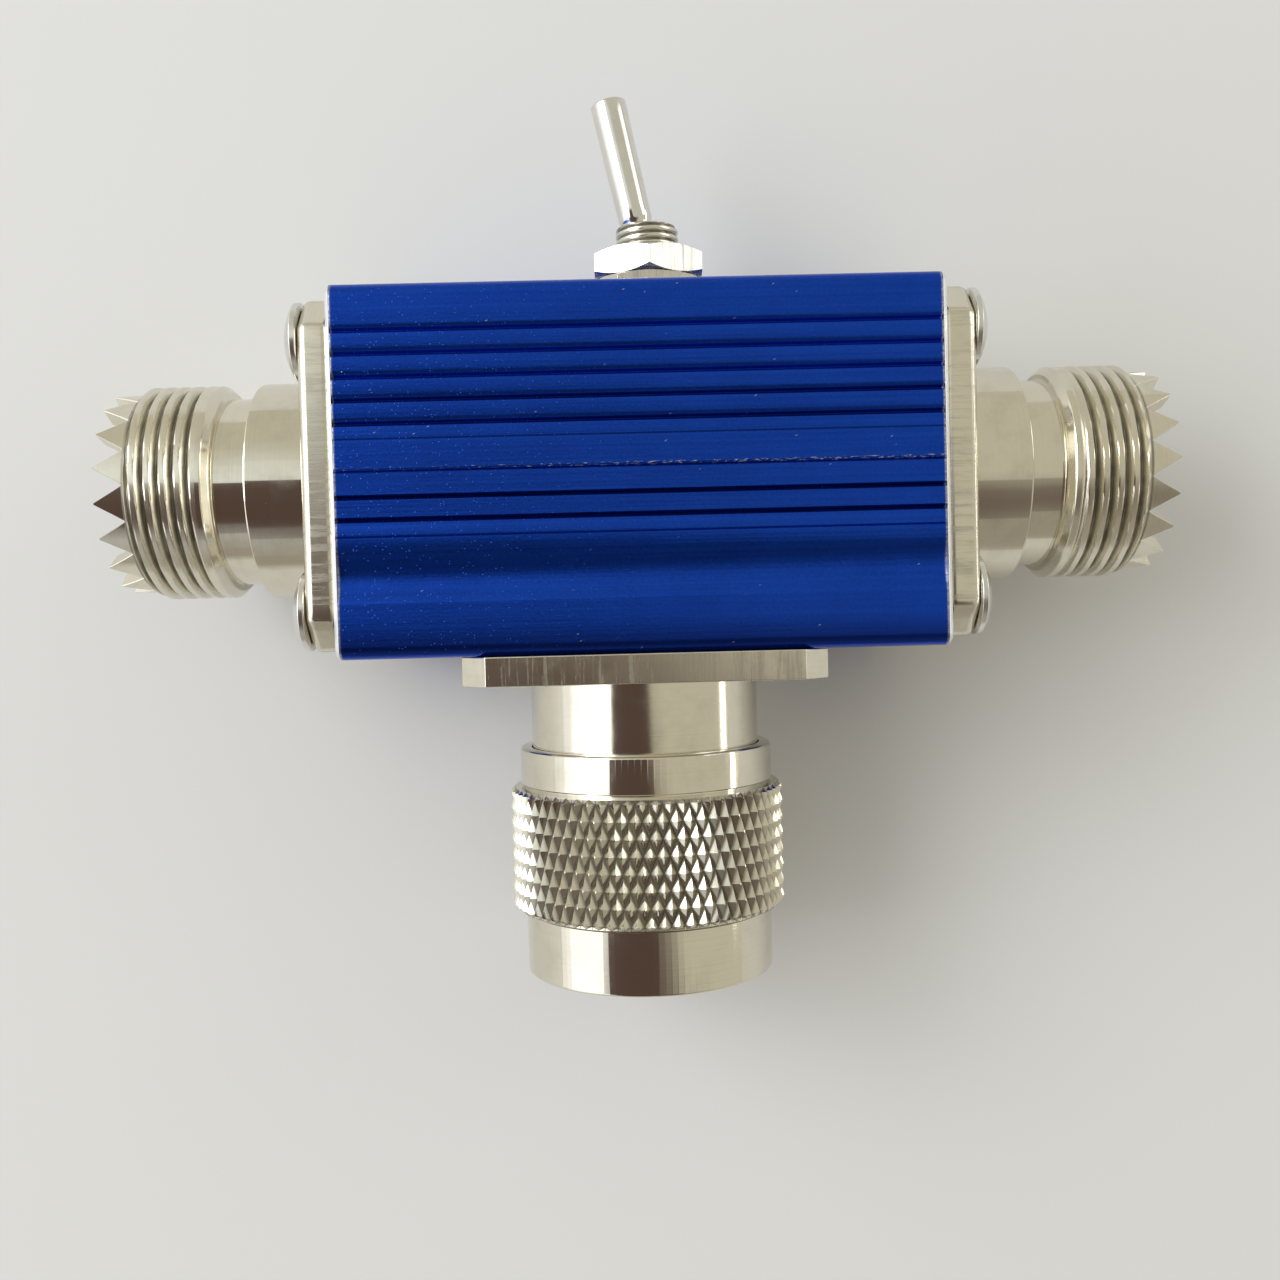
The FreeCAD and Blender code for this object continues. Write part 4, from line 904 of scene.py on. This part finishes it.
sunk_profile = [(0, 10.95), (1.0, 10.95), (1.5, 11.45), (1.5, 13.25), (2.76, 14.49), (2.76, 14.52)]
sunk_profile += [(2.70, SUNK_TOP), (0.4, SUNK_TOP), (0, SUNK_TOP)]
sunk_screw = recessed(lathe_blank("sunk_blank", sunk_profile), cross_cutter("sunk_cross", SUNK_TOP, 1.1))
plug_screw_set = four_screws("plug_sunk_screws", sunk_screw, TO_PLUG, (33, 80, 15, 58), plug_screw_steel)
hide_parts("plug_screws")
print("three sets of four screws,", len(pan_screw.polygons), "faces in a pan head")

# %% [markdown]
# ## The toggle bushing
# The switch is held by a bushing with a fine thread, 4.7 mm across with 48 turns to the inch, on a rectangular base
# inside the case. Only a few turns of the thread stand above the nuts. The same grid serves again: a rectangle for
# the base, a plain ring above it, and the thread with its chamfered end.


# %% Threaded bushing
FINE_PITCH, FINE_DEPTH, FINE_START = INCH / 48, 0.26, 12.9
BUSHING_RADIUS, BUSHING_END = 2.35, 19.15
BASE_FOOT, BASE_TOP = 9.8, 10.6
BASE_HALF, BASE_HALF_Y, BASE_CUT = 6.4, 3.5, 0.3
BORE_PROFILE = ((2.15, BUSHING_END), (1.94, BUSHING_END), (1.9, 19.11), (1.9, 14.95), (1.98, 14.15))


def bushing_blank(height):
    """Radius of the bushing before its thread is cut, with the chamfer at its end."""
    return min(BUSHING_RADIUS, 2.17 + (BUSHING_END - height))


def bushing():
    angles = [math.radians(3.75 + 7.5 * i) for i in range(48)]
    base = [flange_ring(angles, BASE_HALF, BASE_CUT, h, half_y=BASE_HALF_Y) for h in (BASE_FOOT, BASE_TOP)]
    rings = [circle(angles, 1.98, BASE_FOOT), *base, circle(angles, BUSHING_RADIUS, BASE_TOP)]
    rings.append(circle(angles, 2.33, FINE_START))
    rings += thread_rings(
        angles, FINE_START, BUSHING_END, BUSHING_RADIUS, FINE_DEPTH, FINE_PITCH, bushing_blank, rows_per_turn=10
    )
    rings += [circle(angles, radius, height) for radius, height in BORE_PROFILE]
    piece = swept("bushing", rings, TO_TOGGLE, bushing_nickel)
    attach(piece, "case")
    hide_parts("toggle_bushing")
    return piece


toggle_bushing = bushing()
print("bushing thread pitch", round(FINE_PITCH, 2), "mm,", len(toggle_bushing.data.vertices), "points")

# %% [markdown]
# ## Softened edges on the solids that stay
# The other solids have the right shape, but their edges are perfectly sharp, and a real edge always catches a line of
# light. Their meshes stay untouched: modifiers join the split corners, merge flat triangles, round every edge
# over 30 degrees by a few hundredths of a millimetre, and let the big faces decide the shading.

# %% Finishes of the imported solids, and how far their edges are rounded
finishes = {
    "case_upper_shell": (case_blue, 0.06),
    "case_lower_shell": (case_blue, 0.06),
    "plug_body": (plug_nickel, 0.06),
    "plug_insulator": (plug_ptfe, 0.05),
    "plug_pin": (silver_plate, 0.04),
    "plug_snap_ring": (spring_steel, 0.04),
    "toggle_frame": (screw_steel, 0.04),
    "toggle_housing": (red_phenolic, 0.08),
    "toggle_lock_washer": (screw_steel, 0.03),
    "toggle_lower_nut": (nut_nickel, 0.05),
    "toggle_upper_nut": (nut_nickel, 0.05),
    "toggle_pivot_pin": (spring_steel, 0.03),
    "toggle_lever": (lever_nickel, 0.05),
    "toggle_plunger": (white_nylon, 0.03),
    "toggle_spring": (spring_steel, 0.0),
    "toggle_rocker": (silver_plate, 0.04),
}
for side in ("left", "right", "centre"):
    finishes[f"toggle_{side}_terminal"] = (silver_plate, 0.04)
    finishes[f"{side}_wire"] = (tinned_copper, 0.03)
for side in ("left", "right"):
    finishes[f"{side}_socket_insulator"] = (socket_ptfe, 0.05)
    finishes[f"{side}_socket_contact"] = (gold_flash, 0.04)
print(len(finishes), "finishes chosen")


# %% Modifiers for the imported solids
MERGE_DISTANCE = 1e-7
FLAT_ANGLE, EDGE_ANGLE = math.radians(0.5), math.radians(30)


def soften_edges(solid, width):
    weld = solid.modifiers.new("join_corners", "WELD")
    weld.merge_threshold = MERGE_DISTANCE
    flat = solid.modifiers.new("merge_flats", "DECIMATE")
    flat.decimate_type, flat.angle_limit = "DISSOLVE", FLAT_ANGLE
    bevel = solid.modifiers.new("soft_edges", "BEVEL")
    bevel.width, bevel.segments, bevel.limit_method = width * MM, 2, "ANGLE"
    bevel.angle_limit, bevel.harden_normals = EDGE_ANGLE, True
    bevel.use_clamp_overlap = True
    shading = solid.modifiers.new("face_shading", "WEIGHTED_NORMAL")
    shading.keep_sharp = False


for name, (finish, width) in finishes.items():
    solid = nodes[name]
    solid.data.materials.clear()
    solid.data.materials.append(finish)
    if width:
        soften_edges(solid, width)
print(len(finishes), "packed solids finished")

# %% [markdown]
# ## The spring in the lever
# The plunger pushes its spring 0.3 mm together, deep inside the lever's tail. The imported spring is rigid, so a copy
# of it takes its place and rides on the lever at its full length.

# %% A copy of the spring on the lever
BORE = Vector((-0.207911691, 0.978147601, 0.0))
PLUNGER_TRAVEL = 0.3 * MM


def shortening_spring():
    packed = nodes["toggle_spring"]
    piece = bpy.data.objects.new("lever_spring", packed.data.copy())
    piece.matrix_world = packed.matrix_world.copy()
    bpy.context.scene.collection.objects.link(piece)
    along = [BORE.dot(piece.matrix_world @ corner.co) for corner in piece.data.vertices]
    seat = piece.matrix_world @ piece.data.vertices[along.index(max(along))].co
    length = max(along) - min(along)
    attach(piece, "lever")
    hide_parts("toggle_spring")
    (length - PLUNGER_TRAVEL) / length
    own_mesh(piece)
    return length


print("spring is", round(shortening_spring() / MM, 2), "mm long at rest")

# %% [markdown]
# ## Floor and light
# Plain light shows the finish best: a pale floor, a pale sky, two broad softboxes high at the left, and a small one
# with a low strip at the right. Nickel is a mirror, though, and under an even sky it would look like grey plastic. So
# the sky has a bright wall with a window at the left, and a soft dark patch overhead that gives every cylinder its
# dark stripe.

# %% Floor
FLOOR_SIZE, FLOOR_DROP = 3.0, 0.00002

bpy.ops.mesh.primitive_plane_add(size=FLOOR_SIZE, location=(0, 0, -FLOOR_DROP))
floor = bpy.context.object
floor.name = "floor"
floor_finish = Finish("floor_paper", (0.80, 0.80, 0.79), roughness=0.75)
floor_finish.set(**{"Specular IOR Level": 0.2})
floor.data.materials.append(floor_finish.material)
print("floor laid")


# %% Sky with a bright wall, a window and a dark patch
BEIGE, COOL, BROWN = (0.61, 0.59, 0.50), (0.90, 0.94, 0.94), (0.10, 0.065, 0.055)
WALL, WINDOW = (1.12, 1.13, 1.14), (1.60, 1.62, 1.68)
# Each patch is its direction, and the angles in degrees where it ends and where it is full.
COOL_SIDE, WALL_SIDE = ((-1.0, -0.15, 0.45), 66, 50), ((-1.0, 0.16, 0.16), 52, 42)
NEAR_PANE, FAR_PANE = ((-1.0, -0.30, 0.68), 27, 21), ((-1.0, 0.25, 0.70), 25, 19)
CEILING, CEILING_EDGE = ((-0.29, -0.35, 1.0), 28, 22), ((-0.02, -0.70, 1.0), 36, 18)
PLUG_SIDE = ((0.0, -1.0, 0.30), 62, 30)


def sky():
    world = bpy.data.worlds.new("sky")
    bpy.context.scene.world = world
    tree = Tree(world)
    way = tree.add("ShaderNodeTexCoord", out="Generated")

    def patch(aim, edge, core):
        """1 within the core angle of a direction and 0 beyond the edge angle, in degrees."""
        aim = Vector(aim).normalized()
        towards = tree.add("ShaderNodeVectorMath", {"operation": "DOT_PRODUCT"}, {0: way, 1: aim}, out="Value")
        return towards.rise(math.cos(math.radians(edge)), math.cos(math.radians(core)))

    colour = tree.blend(patch(*COOL_SIDE), BEIGE, COOL)
    colour = tree.blend(patch(*WALL_SIDE), colour, WALL)
    colour = tree.blend(patch(*FAR_PANE).most(patch(*NEAR_PANE)), colour, WINDOW)
    ceiling = patch(*CEILING).most(patch(*CEILING_EDGE) * 0.85).most(patch(*PLUG_SIDE) * 0.45)
    colour = tree.blend(ceiling, colour, BROWN)
    background = tree.nodes["Background"]
    tree.feed(background.inputs["Color"], colour)
    background.inputs["Strength"].default_value = 1.0


sky()
print("sky painted")

# %% Four softboxes
AIM = Vector((0, 0, 0.01))
LAMPS = {
    "left_softbox": ((-0.42, 0.06, 0.40), (0.34, 0.30), 2.2, (0.97, 0.985, 1.0)),
    "back_softbox": ((-0.46, 0.25, 0.36), (0.30, 0.26), 3.6, (0.93, 0.97, 1.0)),
    "right_softbox": ((0.44, 0.20, 0.22), (0.22, 0.22), 1.3, (0.96, 0.98, 1.0)),
    "right_strip": ((0.52, 0.02, 0.07), (0.34, 0.06), 2.5, (1.0, 0.99, 0.95)),
}


def softbox(name, place, size, glow, colour):
    """A rectangular lamp; glow is the brightness of its face, where 1 is the brightness of white paper."""
    data = bpy.data.lights.new(name, "AREA")
    data.shape, data.size, data.size_y, data.color = "RECTANGLE", *size, colour
    data.energy = glow * math.pi * size[0] * size[1]
    light = bpy.data.objects.new(name, data)
    light.location = place
    light.rotation_euler = (AIM - Vector(place)).to_track_quat("-Z", "Y").to_euler()
    bpy.context.scene.collection.objects.link(light)


for name, lamp in LAMPS.items():
    softbox(name, *lamp)
print(len(LAMPS), "softboxes")

# %% [markdown]
# ## View settings
# The Standard view shows a colour as it is written.

# %% Finish
bpy.context.scene.view_settings.view_transform = "Standard"
